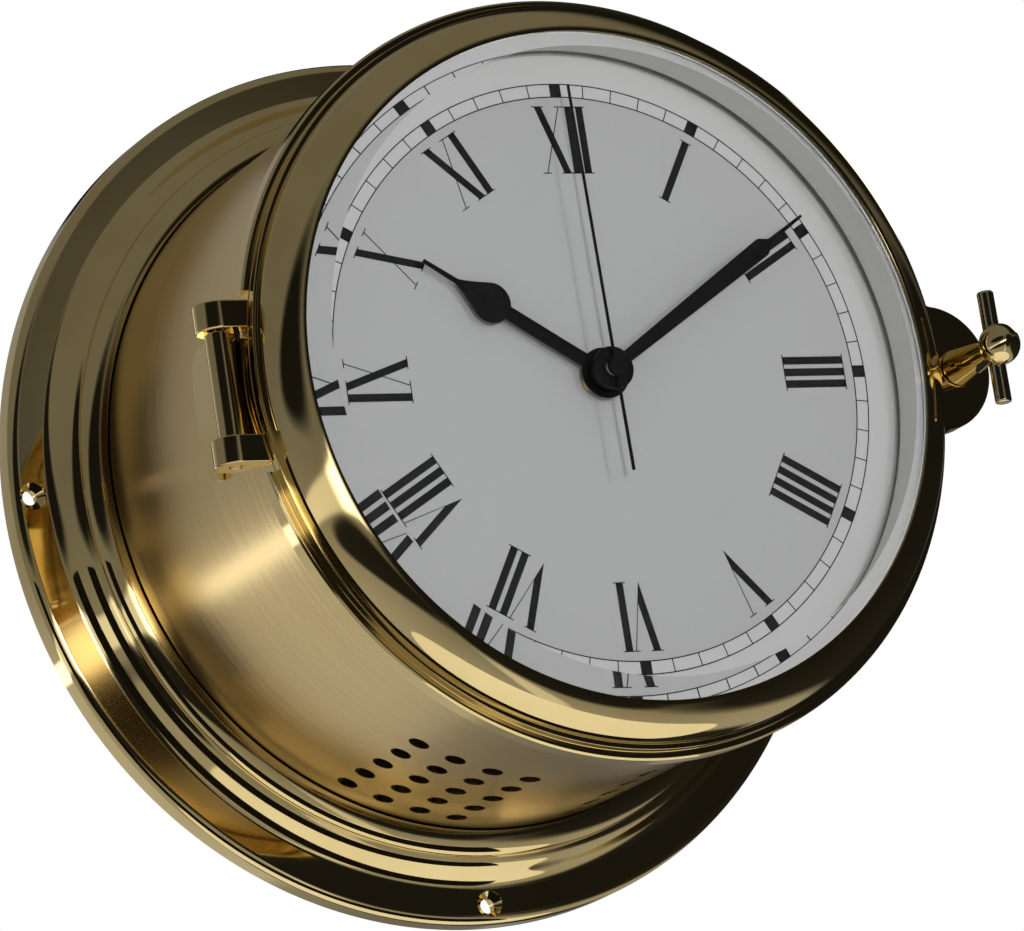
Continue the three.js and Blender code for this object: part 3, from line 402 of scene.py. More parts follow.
def turning_tree():
    """Turns the piece's own points, radius in x and depth in z, about an axis."""
    tree, graph, given = new_tree(
        "turned on the lathe", ("Sides", "Int"), ("Axis Point", "Vector"),
        ("Axis Turn", "Vector"), ("Finish", "Material"),
    )
    outline, sides = given.out("Geometry"), given.out("Sides")
    count = graph.node("GeometryNodeAttributeDomainSize", {}, {0: outline})
    skin = graph.node(
        "GeometryNodeMeshGrid", {},
        {"Size X": count, "Size Y": sides, "Vertices X": count + 1, "Vertices Y": sides + 1},
    )
    where = graph.node("GeometryNodeInputPosition")
    across, around, _ = graph.parts(where)
    column = (across + count / 2 + 0.5).floor() % count
    angle = (around + sides / 2 + 0.5).floor() * TURN / sides
    corner = graph.node(
        "GeometryNodeSampleIndex", {"data_type": "FLOAT_VECTOR"},
        {"Geometry": outline, "Value": where, "Index": column},
    )
    radius, _, depth = graph.parts(corner)
    wrapped = graph.node(
        "GeometryNodeSetPosition", {},
        {"Geometry": skin, "Position": graph.around(radius, angle, depth * -1)},
    )
    sealed = graph.node("GeometryNodeMergeByDistance", {}, {"Geometry": wrapped, "Distance": 1e-6})
    turn = graph.node("FunctionNodeEulerToRotation", {}, {0: given.out("Axis Turn")})
    placed = graph.node(
        "GeometryNodeTransform", {},
        {"Geometry": sealed, "Translation": given.out("Axis Point"), "Rotation": turn},
    )
    end_tree(graph, placed, given)
    return tree


def perforating_tree():
    """Drills two patches of sound holes, one each side of six o'clock, through the drum's skin."""
    tree, graph, given = new_tree(
        "drum with sound holes", ("Skin Radius", "Float"), ("Hole Radius", "Float"),
        ("Pitch", "Float"), ("Rows", "Int"), ("Holes in a Row", "Int"),
        ("First Row", "Float"), ("First Depth", "Float"), ("Finish", "Material"),
    )
    rows, per_row = given.out("Rows"), given.out("Holes in a Row")
    skin, pitch = given.out("Skin Radius"), given.out("Pitch")
    index = graph.node("GeometryNodeInputIndex")
    side = index % 2 * 2 - 1
    place = (index / 2).floor()
    row = (place / per_row).floor()
    angle = side * (given.out("First Row") + row * pitch) / skin + math.pi
    depth = given.out("First Depth") + place % per_row * pitch
    spots = graph.node("GeometryNodePoints", {}, {
        "Count": rows * per_row * 2, "Position": graph.around(skin, angle, depth * -1),
    })
    drill = graph.node("GeometryNodeMeshCylinder", {}, {
        "Vertices": 28, "Radius": given.out("Hole Radius"), "Depth": drill_length * MM,
    })
    drills = graph.node("GeometryNodeInstanceOnPoints", {}, {
        "Points": spots, "Instance": drill, "Rotation": graph.euler(0, angle, 0),
    })
    solid = graph.node("GeometryNodeRealizeInstances", {}, {0: drills})
    drilled = graph.node(
        "GeometryNodeMeshBoolean", {"operation": "DIFFERENCE", "solver": "EXACT"},
        {"Mesh 1": given.out("Geometry"), "Mesh 2": solid},
    )
    end_tree(graph, drilled, given)
    return tree


def minute_track_tree():
    """Sixty printed marks round the dial: a fine tick a minute and a block every fifth."""
    tree, graph, given = new_tree(
        "minute track", ("Middle Radius", "Float"), ("Band", "Float"), ("Tick Width", "Float"),
        ("Block Width", "Float"), ("Thickness", "Float"), ("Depth", "Float"), ("Finish", "Material"),
    )
    index = graph.node("GeometryNodeInputIndex")
    angle = index * (TURN / 60)
    spots = graph.node("GeometryNodePoints", {}, {
        "Count": 60,
        "Position": graph.around(given.out("Middle Radius"), angle, given.out("Depth") * -1),
    })
    fifth = 1 - (index % 5).over(0.5)
    marks = []
    for width, extra, chosen in (("Tick Width", 0.0, 1 - fifth), ("Block Width", 0.25 * MM, fifth)):
        mark = graph.node("GeometryNodeMeshCube", {}, {
            "Size": graph.vector(given.out(width), given.out("Thickness"), given.out("Band") + extra),
        })
        marks.append(graph.node("GeometryNodeInstanceOnPoints", {}, {
            "Points": spots, "Instance": mark, "Selection": chosen,
            "Rotation": graph.euler(0, angle, 0),
        }))
    end_tree(graph, graph.joined("GeometryNodeJoinGeometry", 0, marks), given)
    return tree


def ring_of_screws_tree():
    """Sets copies of the piece on a circle, each with its slot at its own angle."""
    tree, graph, given = new_tree(
        "ring of screws", ("Count", "Int"), ("Circle", "Float"), ("First Angle", "Float"),
        ("Seed", "Int"), ("Finish", "Material"),
    )
    count, circle = given.out("Count"), given.out("Circle")
    index = graph.node("GeometryNodeInputIndex")
    angle = given.out("First Angle") + index * TURN / count
    spots = graph.node("GeometryNodePoints", {}, {
        "Count": count, "Position": graph.around(circle, angle, 0.0),
    })
    slot_angle = graph.node(
        "FunctionNodeRandomValue", {"data_type": "FLOAT"},
        {2: 0.0, 3: math.pi, "ID": index, "Seed": given.out("Seed")}, out=1,
    )
    screws = graph.node("GeometryNodeInstanceOnPoints", {}, {
        "Points": spots, "Instance": given.out("Geometry"),
        "Rotation": graph.euler(0, slot_angle, 0),
    })
    end_tree(graph, screws, given)
    return tree


lathe = turning_tree()


def turned(name, outline, sides=256, axis=(0, 0, 0), upright=False):
    """A piece turned from [radius, depth] points, or [radius, height] for an upright axis."""
    mesh = bpy.data.meshes.new(name)
    mesh.from_pydata([(radius * MM, 0, depth * MM) for radius, depth in outline], [], [])
    return grown(shown(name, mesh), lathe, {
        "Sides": sides, "Axis Point": Vector(axis) * MM,
        "Axis Turn": Vector((-math.pi / 2 if upright else 0, 0, 0)),
    })


def rod(radius, rear, front, sides=48, x=0, z=0):
    return welded(turned("tool", oblong(0, radius, rear, front), sides, (x, 0, z)))


def refined(node, width, segments=2):
    """A copy of a CAD node with its flats joined and its edges rounded."""
    piece = shown(node + "_fine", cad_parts[node].data.copy())
    welded(piece, flat=1)
    return edged(piece, width, segments, 35)


# Finishes


def new_finish(name):
    finish = bpy.data.materials.new(name)
    finish.use_nodes = True
    finish.node_tree.nodes.clear()
    graph = Graph(finish.node_tree)
    return finish, graph, graph.node("ShaderNodeTexCoord").out("Object")


def speckle(graph, place, scale, detail=3.0, roughness=0.5, stretch=(1, 1, 1)):
    """Noise from 0 to 1 with so many features a metre along each axis."""
    scaled = graph.node("ShaderNodeMapping", {}, {"Vector": place, "Scale": stretch})
    return graph.node("ShaderNodeTexNoise", {}, {
        "Vector": scaled, "Scale": scale, "Detail": detail, "Roughness": roughness,
    })


def bumped(graph, height, distance):
    return graph.node("ShaderNodeBump", {}, {"Height": height, "Distance": distance, "Strength": 1.0})


def either(*wires):
    """The highest of several values."""
    highest = wires[0]
    for wire in wires[1:]:
        highest = highest.maths("MAXIMUM", wire)
    return highest


def outer(graph, shader):
    graph.node("ShaderNodeOutputMaterial", {}, {"Surface": shader})


def surface(graph, **sockets):
    outer(graph, graph.node("ShaderNodeBsdfPrincipled", {}, {
        key.replace("_", " "): value for key, value in sockets.items()
    }))


def buffed(graph, place):
    """Soft clouds of polish, and a few fine wipe marks."""
    clouds = speckle(graph, place, 55, 4).ramp(0.35, 0.7)
    wipes = speckle(graph, place, 400, 2, stretch=(1, 4, 0.6)).ramp(0.55, 0.8)
    return clouds, wipes


def from_axis(graph, place):
    """The distance from the clock's axis."""
    x, _, z = graph.parts(place)
    return (x * x + z * z).maths("SQRT")


def polished_metal(name, bright, dull, low, high):
    """Buffed metal under lacquer."""
    finish, graph, place = new_finish(name)
    clouds, wipes = buffed(graph, place)
    surface(
        graph,
        Base_Color=graph.blend(clouds, bright, dull),
        Metallic=1.0,
        Roughness=low + clouds * (high - low) * 0.7 + wipes * (high - low) * 0.3,
        Normal=bumped(graph, clouds + wipes * 0.2, 2e-6),
    )
    return finish


fresh_brass, dull_brass = (0.88, 0.70, 0.34), (0.83, 0.64, 0.29)


def flange_brass():
    """Polished in front, with the lathe's rings left on the face that meets the wall."""
    finish, graph, place = new_finish("flange_brass")
    wall_face = graph.parts(place)[1].ramp(-0.12 * MM, -0.03 * MM)
    rings = (from_axis(graph, place) * (TURN / (0.7 * MM))).sine() * 0.5 + 0.5
    clouds, wipes = buffed(graph, place)
    stain = speckle(graph, place, 38, 5).ramp(0.4, 0.75)
    shine = graph.blend(clouds, fresh_brass, dull_brass)
    turned_face = graph.blend(stain, (0.66, 0.50, 0.25), (0.46, 0.34, 0.17))
    surface(
        graph,
        Base_Color=graph.blend(wall_face, shine, turned_face),
        Metallic=1.0,
        Roughness=0.035 + clouds * 0.03 + wipes * 0.012 + wall_face * (0.26 + rings * 0.12),
        Normal=bumped(graph, clouds * 0.2 + wipes * 0.04 + wall_face * rings, 1e-5),
    )
    return finish


def brushed_brass():
    """Brushing runs round the drum, so its lines are fine along the depth and long round the skin."""
    finish, graph, place = new_finish("brushed_brass")
    fine = speckle(graph, place, 1, 2, 0.6, (14, 3600, 14))
    broad = speckle(graph, place, 1, 2, 0.5, (5, 900, 5))
    stain = speckle(graph, place, 26, 4)
    shade = fine * 0.55 + broad * 0.3 + stain * 0.15
    surface(
        graph,
        Base_Color=graph.blend(shade.ramp(0.3, 0.7), (0.80, 0.59, 0.27), (0.88, 0.68, 0.34)),
        Metallic=1.0,
        Roughness=0.16 + fine * 0.08 + broad * 0.04,
        Normal=bumped(graph, fine * 0.85 + broad * 0.15, 1.6e-5),
    )
    return finish


def satin_metal(name, colour, roughness):
    """Machined metal with fine tool marks."""
    finish, graph, place = new_finish(name)
    marks = speckle(graph, place, 1, 3, 0.6, (900, 900, 900))
    cloud = speckle(graph, place, 45, 3)
    dark = [c * 0.8 for c in colour]
    surface(
        graph,
        Base_Color=graph.blend(cloud * 0.6 + marks * 0.4, dark, colour),
        Metallic=1.0,
        Roughness=roughness * 0.8 + marks * roughness * 0.4,
        Normal=bumped(graph, marks, 5e-6),
    )
    return finish


def moulded(name, colour, roughness, grain=2600, depth=1.5e-5):
    """Moulded plastic or rubber with a fine grain."""
    finish, graph, place = new_finish(name)
    pits = speckle(graph, place, grain, 2)
    cloud = speckle(graph, place, 60, 2)
    pale = [min(1, c * 1.25 + 0.004) for c in colour]
    surface(
        graph,
        Base_Color=graph.blend(cloud * 0.7 + pits * 0.3, colour, pale),
        Roughness=roughness - 0.08 + pits * 0.16,
        Normal=bumped(graph, pits, depth),
    )
    return finish


def dial_paint():
    """Satin paint on the dial plate, grey inside the minute track and whiter from there to its edge."""
    finish, graph, place = new_finish("dial_paint")
    grain = speckle(graph, place, 1500, 3)
    cloud = speckle(graph, place, 30, 3)
    border = from_axis(graph, place).ramp((track_inner - 0.1) * MM, (track_inner + 0.1) * MM)
    grey = graph.blend(grain * 0.5 + cloud * 0.5, (0.395, 0.395, 0.392), (0.435, 0.436, 0.432))
    white = graph.blend(grain * 0.5 + cloud * 0.5, (0.50, 0.50, 0.495), (0.55, 0.55, 0.545))
    surface(
        graph,
        Base_Color=graph.blend(border, grey, white),
        Roughness=0.5 + grain * 0.12,
        Normal=bumped(graph, grain, 2e-6),
    )
    return finish


def coating(name, scale, detail, dark, pale, roughness, spread, relief):
    """Thin black ink or lacquer, a little uneven where it was laid on."""
    finish, graph, place = new_finish(name)
    grain = speckle(graph, place, scale, detail)
    surface(
        graph,
        Base_Color=graph.blend(grain, dark, pale),
        Roughness=roughness + grain * spread,
        Specular_IOR_Level=0.15,
        Normal=bumped(graph, grain, relief),
    )
    return finish


def silvered_wall():
    """Frosted silvering on the ring between the glass and the dial."""
    finish, graph, place = new_finish("frosted_silver")
    frost = speckle(graph, place, 1800, 2)
    cloud = speckle(graph, place, 40, 3)
    surface(
        graph,
        Base_Color=graph.blend(cloud * 0.6 + frost * 0.4, (0.56, 0.56, 0.52), (0.66, 0.66, 0.61)),
        Metallic=0.3,
        Roughness=0.42 + frost * 0.15,
        Normal=bumped(graph, frost, 2e-6),
    )
    return finish


def clear_glass():
    """Clear glass that lets the lamps through to the dial."""
    finish, graph, place = new_finish("clear_glass")
    dust = speckle(graph, place, 300, 4).ramp(0.62, 0.9)
    pane = graph.node("ShaderNodeBsdfPrincipled", {}, {
        "Base Color": tone(1, 1, 1), "IOR": 1.52, "Transmission Weight": 1.0,
        "Specular Tint": tone(0.3, 0.3, 0.3),
        "Roughness": dust * 0.02,
    })
    rays = graph.node("ShaderNodeLightPath")
    free = either(rays.out("Is Shadow Ray"), rays.out("Is Diffuse Ray"))
    open_air = graph.node("ShaderNodeBsdfTransparent")
    outer(graph, graph.node("ShaderNodeMixShader", {}, {0: free, 1: pane, 2: open_air}))
    return finish


def wound_copper():
    """Enamelled wire wound along an upright bobbin."""
    finish, graph, place = new_finish("wound_copper")
    turns = (graph.parts(place)[2] * (TURN / (0.12 * MM))).sine() * 0.5 + 0.5
    cloud = speckle(graph, place, 500, 3)
    surface(
        graph,
        Base_Color=graph.blend(turns * 0.6 + cloud * 0.4, (0.30, 0.10, 0.04), (0.72, 0.33, 0.14)),
        Metallic=0.9,
        Roughness=0.28 + cloud * 0.1,
        Normal=bumped(graph, turns, 3e-5),
    )
    return finish


brass = polished_metal("polished_brass", fresh_brass, dull_brass, 0.03, 0.075)
bright_brass = polished_metal("plated_brass", (0.86, 0.74, 0.50), (0.78, 0.66, 0.42), 0.06, 0.12)
drum_brass, flange_metal = brushed_brass(), flange_brass()
plain_brass = satin_metal("plain_brass", (0.80, 0.62, 0.32), 0.3)
steel = satin_metal("bright_steel", (0.62, 0.63, 0.65), 0.3)
dark_steel = satin_metal("blackened_steel", (0.10, 0.10, 0.11), 0.45)
paint, silver, glass_finish = dial_paint(), silvered_wall(), clear_glass()
ink = coating("dial_print", 2200, 3, (0.002, 0.002, 0.0025), (0.008, 0.008, 0.009), 0.42, 0.2, 2e-6)
lacquer = coating("hand_lacquer", 1300, 2, (0.002,) * 3, (0.006,) * 3, 0.3, 0.12, 1.5e-6)
black_plastic = moulded("black_plastic", (0.014, 0.014, 0.016), 0.5)
wheel_plastic = moulded("wheel_plastic", (0.78, 0.74, 0.64), 0.42, 1800, 8e-6)
gasket_rubber = moulded("rubber", (0.03, 0.03, 0.032), 0.75, 2000, 2e-5)
board_green = moulded("solder_resist", (0.02, 0.16, 0.07), 0.35, 1200, 1e-5)
cone_paper = moulded("pressed_paper", (0.035, 0.033, 0.03), 0.9, 1400, 5e-5)
cell_sleeve = moulded("cell_sleeve", (0.16, 0.18, 0.22), 0.3, 900, 4e-6)
copper = wound_copper()


# Case


def wall_screw_tool(clock):
    """Cuts a countersunk hole, with a pocket twice as wide behind it."""
    x, z = on_dial(wall_screw_circle, clock)
    pocket, land = 2 * wall_screw_radius, wall_screw_rim - wall_screw_land
    sink, past = wall_screw_rim + wall_screw_radius - wall_screw_sink, wall_screw_rim + 0.6
    outline = [
        (0, -1), (pocket, -1), (pocket, land), (wall_screw_radius, land), (wall_screw_radius, sink),
        (wall_screw_sink, wall_screw_rim), (wall_screw_sink + 0.15, past), (0, past),
    ]
    return welded(turned("tool", outline, 48, (x, 0, z)))


def cover_screw_tool(clock):
    x, z = on_dial(cover_screw_circle, clock)
    head, bore, end = cover_screw_head + gap, cover_screw_radius + gap, drum_rear + 1
    outline = [
        (0, -1), (head, -1), (head, gap / 2), (bore, gap / 2 + head - bore), (bore, end), (0, end),
    ]
    return welded(turned("tool", outline, 32, (x, 0, z)))


def make_flange():
    rounding = arc(flange_radius - edge_round, edge_depth - edge_round, edge_round, 0, 90, 8)
    cove = curve([
        (moulding_foot, band_depth), (moulding_foot - 2.4, band_depth + 0.2),
        (ledge_radius + 2, cove_top - 0.5), (ledge_radius, cove_top),
    ], 16)
    ovolo = arc(
        quirk_radius - ovolo_width, ledge_depth, ovolo_width, 0, 90, 12, ovolo_height / ovolo_width
    )
    outline = [
        (flange_radius, 0), *rounding, *cove, (quirk_radius, ledge_depth), *ovolo[1:],
        (skirt_inner, ledge_depth + ovolo_height), (skirt_inner, drum_rear - gap),
        (web_inner, drum_rear - gap), (web_inner, web_rear), (cover_seat, web_rear), (cover_seat, 0),
    ]
    piece = welded(turned("mounting_flange_polished", softened(outline, 0.12, 2, 40)))
    for clock in wall_screw_clocks:
        carved(piece, wall_screw_tool(clock))
    for clock in cover_screw_clocks:
        carved(piece, cover_screw_tool(clock))
    finished(piece, flange_metal, "case", "polished_brass", "mounting_flange", smooth=30)


def make_drum():
    outline = oblong(drum_inner, drum_radius, drum_rear, drum_front)
    piece = welded(turned("case_drum_brushed", softened(outline, 0.2)))
    grown(piece, perforating_tree(), {
        "Skin Radius": drum_radius * MM, "Hole Radius": sound_hole_radius * MM,
        "Pitch": sound_hole_pitch * MM, "Rows": sound_hole_rows,
        "Holes in a Row": sound_holes_per_row, "First Row": sound_first_row * MM,
        "First Depth": sound_first_depth * MM, "Finish": drum_brass,
    })
    finished(piece, drum_brass, "case", "brushed_brass", "case_drum", smooth=30)


def make_cover():
    groove = [(-4.6, panel_depth), (-4.2, panel_groove), (-3, panel_groove), (-2.6, panel_depth)]
    outline = [
        (0, panel_depth), *[(cover_panel + x, depth) for x, depth in groove],
        (cover_panel - panel_depth, panel_depth), (cover_panel, 0),
        (cover_radius, 0), (cover_radius, cover_thickness), (0, cover_thickness),
    ]
    piece = welded(turned("back_cover_moulded", softened(outline, 0.3), 192))
    for clock in cover_screw_clocks:
        carved(piece, cover_screw_tool(clock))
    finished(piece, black_plastic, "case", "black_plastic", "back_cover")
    cone = cover_screw_head - cover_screw_radius
    body = softened([
        (0, gap / 2), (cover_screw_head, gap / 2), (cover_screw_radius, gap / 2 + cone),
        (cover_screw_radius, cover_screw_length), (0, cover_screw_length),
    ], 0.08)
    screw = welded(turned("cover_screws", body, 40))
    half = cover_screw_head + 0.2
    carved(screw, slab("tool", [oblong(-half, half, -gap, gap)], -1, 0.6))
    grown(screw, ring_of_screws_tree(), {
        "Count": 4, "Circle": cover_screw_circle * MM, "First Angle": TURN / 8, "Seed": 7,
        "Finish": steel,
    })
    finished(screw, steel, "case", "steel", *[f"cover_screw_{i}" for i in (1, 2, 3, 4)])


def make_dial():
    outline = oblong(dial_bore, dial_radius, dial_rear, dial_front)
    piece = welded(turned("dial_plate", softened(outline, 0.12)))
    for clock in (60, 180, 300):
        x, z = on_dial(foot_circle, clock)
        carved(piece, rod(foot_radius, foot_rear, dial_rear + 0.4, 24, x, z), "UNION")
    finished(piece, paint, "case", "dial_paint", "dial")


def line_ring(radius, front):
    half = track_line / 2
    return turned("tool", oblong(radius - half, radius + half, print_rear, front), 360)


def merged(name, pieces):
    """Several meshes in one piece."""
    work = bmesh.new()
    for piece in pieces:
        work.from_mesh(piece.data)
        bpy.data.objects.remove(piece)
    mesh = bpy.data.meshes.new(name)
    work.to_mesh(mesh)
    work.free()
    return shown(name, mesh)


def make_minute_track():
    marks = grown(shown("tool", bpy.data.meshes.new("marks")), minute_track_tree(), {
        "Middle Radius": (track_outer + track_inner) / 2 * MM,
        "Band": (track_outer - track_inner) * MM, "Tick Width": tick_width * MM,
        "Block Width": block_width * MM, "Thickness": print_thickness * MM,
        "Depth": (print_rear + print_thickness / 2) * MM, "Finish": ink,
    })
    rings = [line_ring(r, print_rear + print_thickness - 0.003) for r in (track_outer, track_inner)]
    piece = merged("minute_track_print", [marks, *rings])
    finished(piece, ink, "case", "hand_paint")


def serif(middle, end, reach=serif_reach):
    inwards = hair_stroke if end == numeral_inner else -hair_stroke
    return oblong(middle - reach, middle + reach, end, end + inwards)


def crossing(p, q, r, s):
    """Where the line from p to q meets the line from r to s."""
    p, q, r, s = map(Vector, (p, q, r, s))
    along, other = q - p, s - r
    share = (r - p).cross(other) / along.cross(other)
    return tuple(p + along * share)


def stroke_i(at):
    half = thick_stroke / 2
    return [
        oblong(at - half, at + half, numeral_inner, numeral_outer),
        serif(at, numeral_inner), serif(at, numeral_outer),
    ]


def stroke_v(at):
    half, hair = thick_stroke / 2, hair_stroke / 2
    foot, far = at + leg_foot, at + leg_span
    top, bottom = numeral_outer, numeral_inner
    reach = foot - (at - half)
    fork = crossing((at + half, top), (at + half + reach, bottom), (far - hair, top), (foot - hair, bottom))
    vee = [(at - half, top), (at + half, top), fork, (far - hair, top), (far + hair, top), (foot, bottom)]
    return [vee, serif(at, top), serif(far, top, hair_serif)]


def stroke_x(at):
    half, hair = thick_stroke / 2, hair_stroke / 2
    far, foot = at + leg_span, at + hair_shift
    top, bottom = numeral_outer, numeral_inner
    return [
        [(at - half, top), (at + half, top), (far + half, bottom), (far - half, bottom)],
        [(far - hair, top), (far + hair, top), (foot + hair, bottom), (foot - hair, bottom)],
        serif(at, top), serif(far, bottom), serif(far, top, hair_serif), serif(foot, bottom, hair_serif),
    ]


strokes = {"I": stroke_i, "V": stroke_v, "X": stroke_x}
numerals = {
    1: [("I", 0)], 2: [("I", -1.2), ("I", 1.2)], 3: [("I", -2.35), ("I", 0), ("I", 2.35)],
    4: [("I", -3.7), ("I", -1.25), ("I", 1.2), ("I", 3.65)], 5: [("V", -2.3)],
    6: [("V", -3.05), ("I", 3.0)], 7: [("V", -4.25), ("I", 1.8), ("I", 4.25)],
    8: [("V", -5.45), ("I", 0.6), ("I", 3.05), ("I", 5.45)], 9: [("I", -3.4), ("X", -1.25)],
    10: [("X", -2.3)], 11: [("X", -3.4), ("I", 3.35)], 12: [("X", -4.5), ("I", 2.2), ("I", 4.55)],
}


def make_numerals():
    outlines = [
        at_clock(outline, 30 * hour)
        for hour, letters in numerals.items()
        for letter, at in letters
        for outline in strokes[letter](at)
    ]
    piece = slab("numerals_print", outlines, print_rear, print_rear + print_thickness)
    finished(piece, ink, "case", "hand_paint")


# Hands


def mirrored(right_side):
    return [*right_side, *[(-x, z) for x, z in reversed(right_side)]]


def hour_blade():
    root = math.degrees(math.acos(hour_stem / bulb_radius))
    bulb = arc(0, bulb_centre, bulb_radius, -root, 28, 20)
    taper = curve([bulb[-1], (1.2, bulb_centre + 6), (0.5, bulb_centre + 8)], 10)
    return mirrored([(hour_stem, 0), *bulb, *taper[1:], (0.35, hour_tip)])


def minute_blade():
    return mirrored([(1.15, 0), (1.9, 43.6), (1.75, 44.3), (0.6, 45.9), (0.5, 46.6), (0.28, 55.6)])


def make_hand(name, blade, clock, rear, hub, bore, body, collar=None):
    front = rear + hand_thickness
    piece = slab(name + "_lacquered", [at_clock(blade, clock)], rear, front)
    carved(piece, rod(hub, rear, front, 72), "UNION")
    if collar:
        carved(piece, rod(collar[0], collar[1], rear + 0.1, 72), "UNION")
    carved(piece, rod(bore, rear - 6, front + 1, 40))
    welded(piece, flat=0.5)
    edged(piece, 0.1, 2, 50)
    finished(piece, lacquer, body, "hand_paint", name)


def make_hands():
    make_hand("hour_hand", hour_blade(), hour_clock, hour_hand_rear, hour_hub, hour_bore, "hours")
    make_hand(
        "minute_hand", minute_blade(), minute_clock, minute_hand_rear, minute_hub, minute_bore,
        "minutes", (minute_collar, minute_collar_rear),
    )
    rear, front = second_hand_rear + second_lift, second_hand_rear + second_cap_height
    wide, narrow = second_half, 0.8 * second_half
    blade = [(-wide, -second_tail), (wide, -second_tail), (narrow, second_tip), (-narrow, second_tip)]
    outline = at_clock(blade, second_clock)
    piece = slab("second_hand_lacquered", [outline], rear, rear + second_thickness)
    hub = softened([
        (second_cap_bore, second_hand_rear), (second_cap, second_hand_rear), (second_cap, front),
        (0, front), (0, front - 0.3), (second_cap_bore, front - 0.3),
    ], 0.3)
    carved(piece, rod(second_seat, rear - 1, rear + 1, 40))
    carved(piece, welded(turned("tool", hub, 48)), "UNION")
    finished(piece, lacquer, "seconds", "hand_paint", "second_hand")


# Bezel


def make_lug():
    reach = lug_radius + lug_fillet
    root = math.sqrt(skirt_outer ** 2 - reach ** 2) - 1
    tip = arc(lug_x, 0, lug_radius, -80, 80, 56)
    lower = curve([(root, -reach), (lug_x, -lug_radius), tip[0]], 10)
    upper = curve([tip[-1], (lug_x, lug_radius), (root, reach)], 10)
    lug = slab("tool", [[*lower, *tip[1:-1], *upper]], skirt_rear, skirt_front)
    edged(lug, 0.35, 3)
    carved(lug, rod(skirt_inner, skirt_rear - 1, bezel_floor, 192))
    return lug


def notch_tool():
    band = welded(turned("tool", oblong(collar_radius, skirt_outer + 1, skirt_rear - 1, skirt_front)))
    side = oblong(-skirt_outer - 2, 0, -notch_half, notch_half)
    return carved(band, slab("tool", [side], skirt_rear - 2, skirt_front + 1), "INTERSECT")


def make_bezel():
    slope = math.tan(math.radians(bevel_angle))
    outline = [
        (skirt_inner, skirt_rear), (skirt_outer, skirt_rear), (skirt_outer, skirt_front - 0.4),
        (skirt_outer - 0.4, skirt_front), (collar_radius, skirt_front), (collar_radius, crown_rear),
        (crown_radius, crown_rear), *arc(dome_centre, dome_base, dome_radius, 0, 88, 40),
        (lip_inner, lip_under), (glass_seat, lip_under - (glass_seat - lip_inner) * slope),
        (glass_seat, retainer_stop), (retainer_bore, retainer_stop),
        (retainer_bore, bezel_floor), (skirt_inner, bezel_floor),
    ]
    piece = welded(turned("bezel_ring_polished", softened(outline, 0.16, 3, 40)))
    carved(piece, make_lug(), "UNION")
    carved(piece, rod(shank_radius + gap, skirt_rear - 1, skirt_front + 1, 40, screw_x))
    carved(piece, notch_tool())
    finished(piece, brass, "bezel", "polished_brass", "bezel_ring", smooth=30)


def make_glass():
    slope = math.tan(math.radians(bevel_angle))
    rim = glass_front - (glass_radius - glass_flat) * slope
    outline = [
        (0, glass_rear), (glass_radius, glass_rear), (glass_radius, rim), (glass_flat, glass_front),
        (0, glass_front),
    ]
    piece = turned("glass_pane", softened(outline, 0.08, 2))
    finished(piece, glass_finish, "bezel", "clear_glass", "glass", smooth=15)
    cord = oblong(gasket_inner, glass_radius, gasket_rear, gasket_front)
    gasket = turned("glass_gasket_cord", softened(cord, 0.2), 192)
    finished(gasket, gasket_rubber, "bezel", "rubber", "glass_gasket")
    ring = turned("glass_retaining_ring_satin", softened([
        (retainer_inner, retainer_rear), (retainer_outer, retainer_rear),
        (retainer_outer, retainer_shoulder), (glass_radius, retainer_shoulder),
        (glass_radius, retainer_neck), (retainer_rim, retainer_neck),
        (retainer_rim, retainer_front), (retainer_inner, retainer_front),
    ], 0.1))
    finished(ring, silver, "bezel", "pale_brass", "glass_retaining_ring")


def make_hinge():
    for node, body, width in (
        ("hinge_leaf", "case", 0.25), ("hinge_ear_upper", "bezel", 0.3),
        ("hinge_ear_lower", "bezel", 0.3), ("hinge_pin", "bezel", 0.2),
    ):
        finished(refined(node, width, 3), brass, body, "polished_brass", node)


# Clamp


def make_clamp():
    finished(refined("clamp_boss", 0.4, 3), brass, "case", "polished_brass", "clamp_boss")
    finished(refined("screw_clip", 0.08), steel, "clip", "steel", "screw_clip")
    neck = 180 - math.degrees(math.asin(cone_top / ball_radius))
    ball = [(r, d) for d, r in arc(ball_depth, 0, ball_radius, neck, 0, 28)]
    outline = [
        (0, screw_tip), (thread_radius - 0.4, screw_tip), (thread_radius, screw_tip + 0.4),
        (thread_radius, clip_rear - gap), (groove_radius, clip_rear - gap),
        (groove_radius, clip_front + gap), (shank_radius, clip_front + gap),
        (shank_radius, cone_rear), (cone_base, cone_rear), (cone_base, cone_rear + cone_foot),
        *ball[:-1], (0, ball_depth + ball_radius),
    ]
    screw = welded(turned("thumb_screw_polished", softened(outline, 0.2, 3, 40), 72, (screw_x, 0, 0)))
    hole = oblong(0, bar_radius + 0.15, -6, 6)
    carved(screw, welded(turned("tool", hole, 48, (screw_x, -bar_depth, 0), True)))
    finished(screw, brass, "screw", "polished_brass", "thumb_screw")
    rail = softened(oblong(0, bar_radius, -bar_half, bar_half), 0.55, 5)
    piece = turned("cross_bar_polished", rail, 64, (screw_x, -bar_depth, 0), True)
    finished(piece, bright_brass, "screw", "polished_brass", "cross_bar")


# CAD nodes that keep their shape


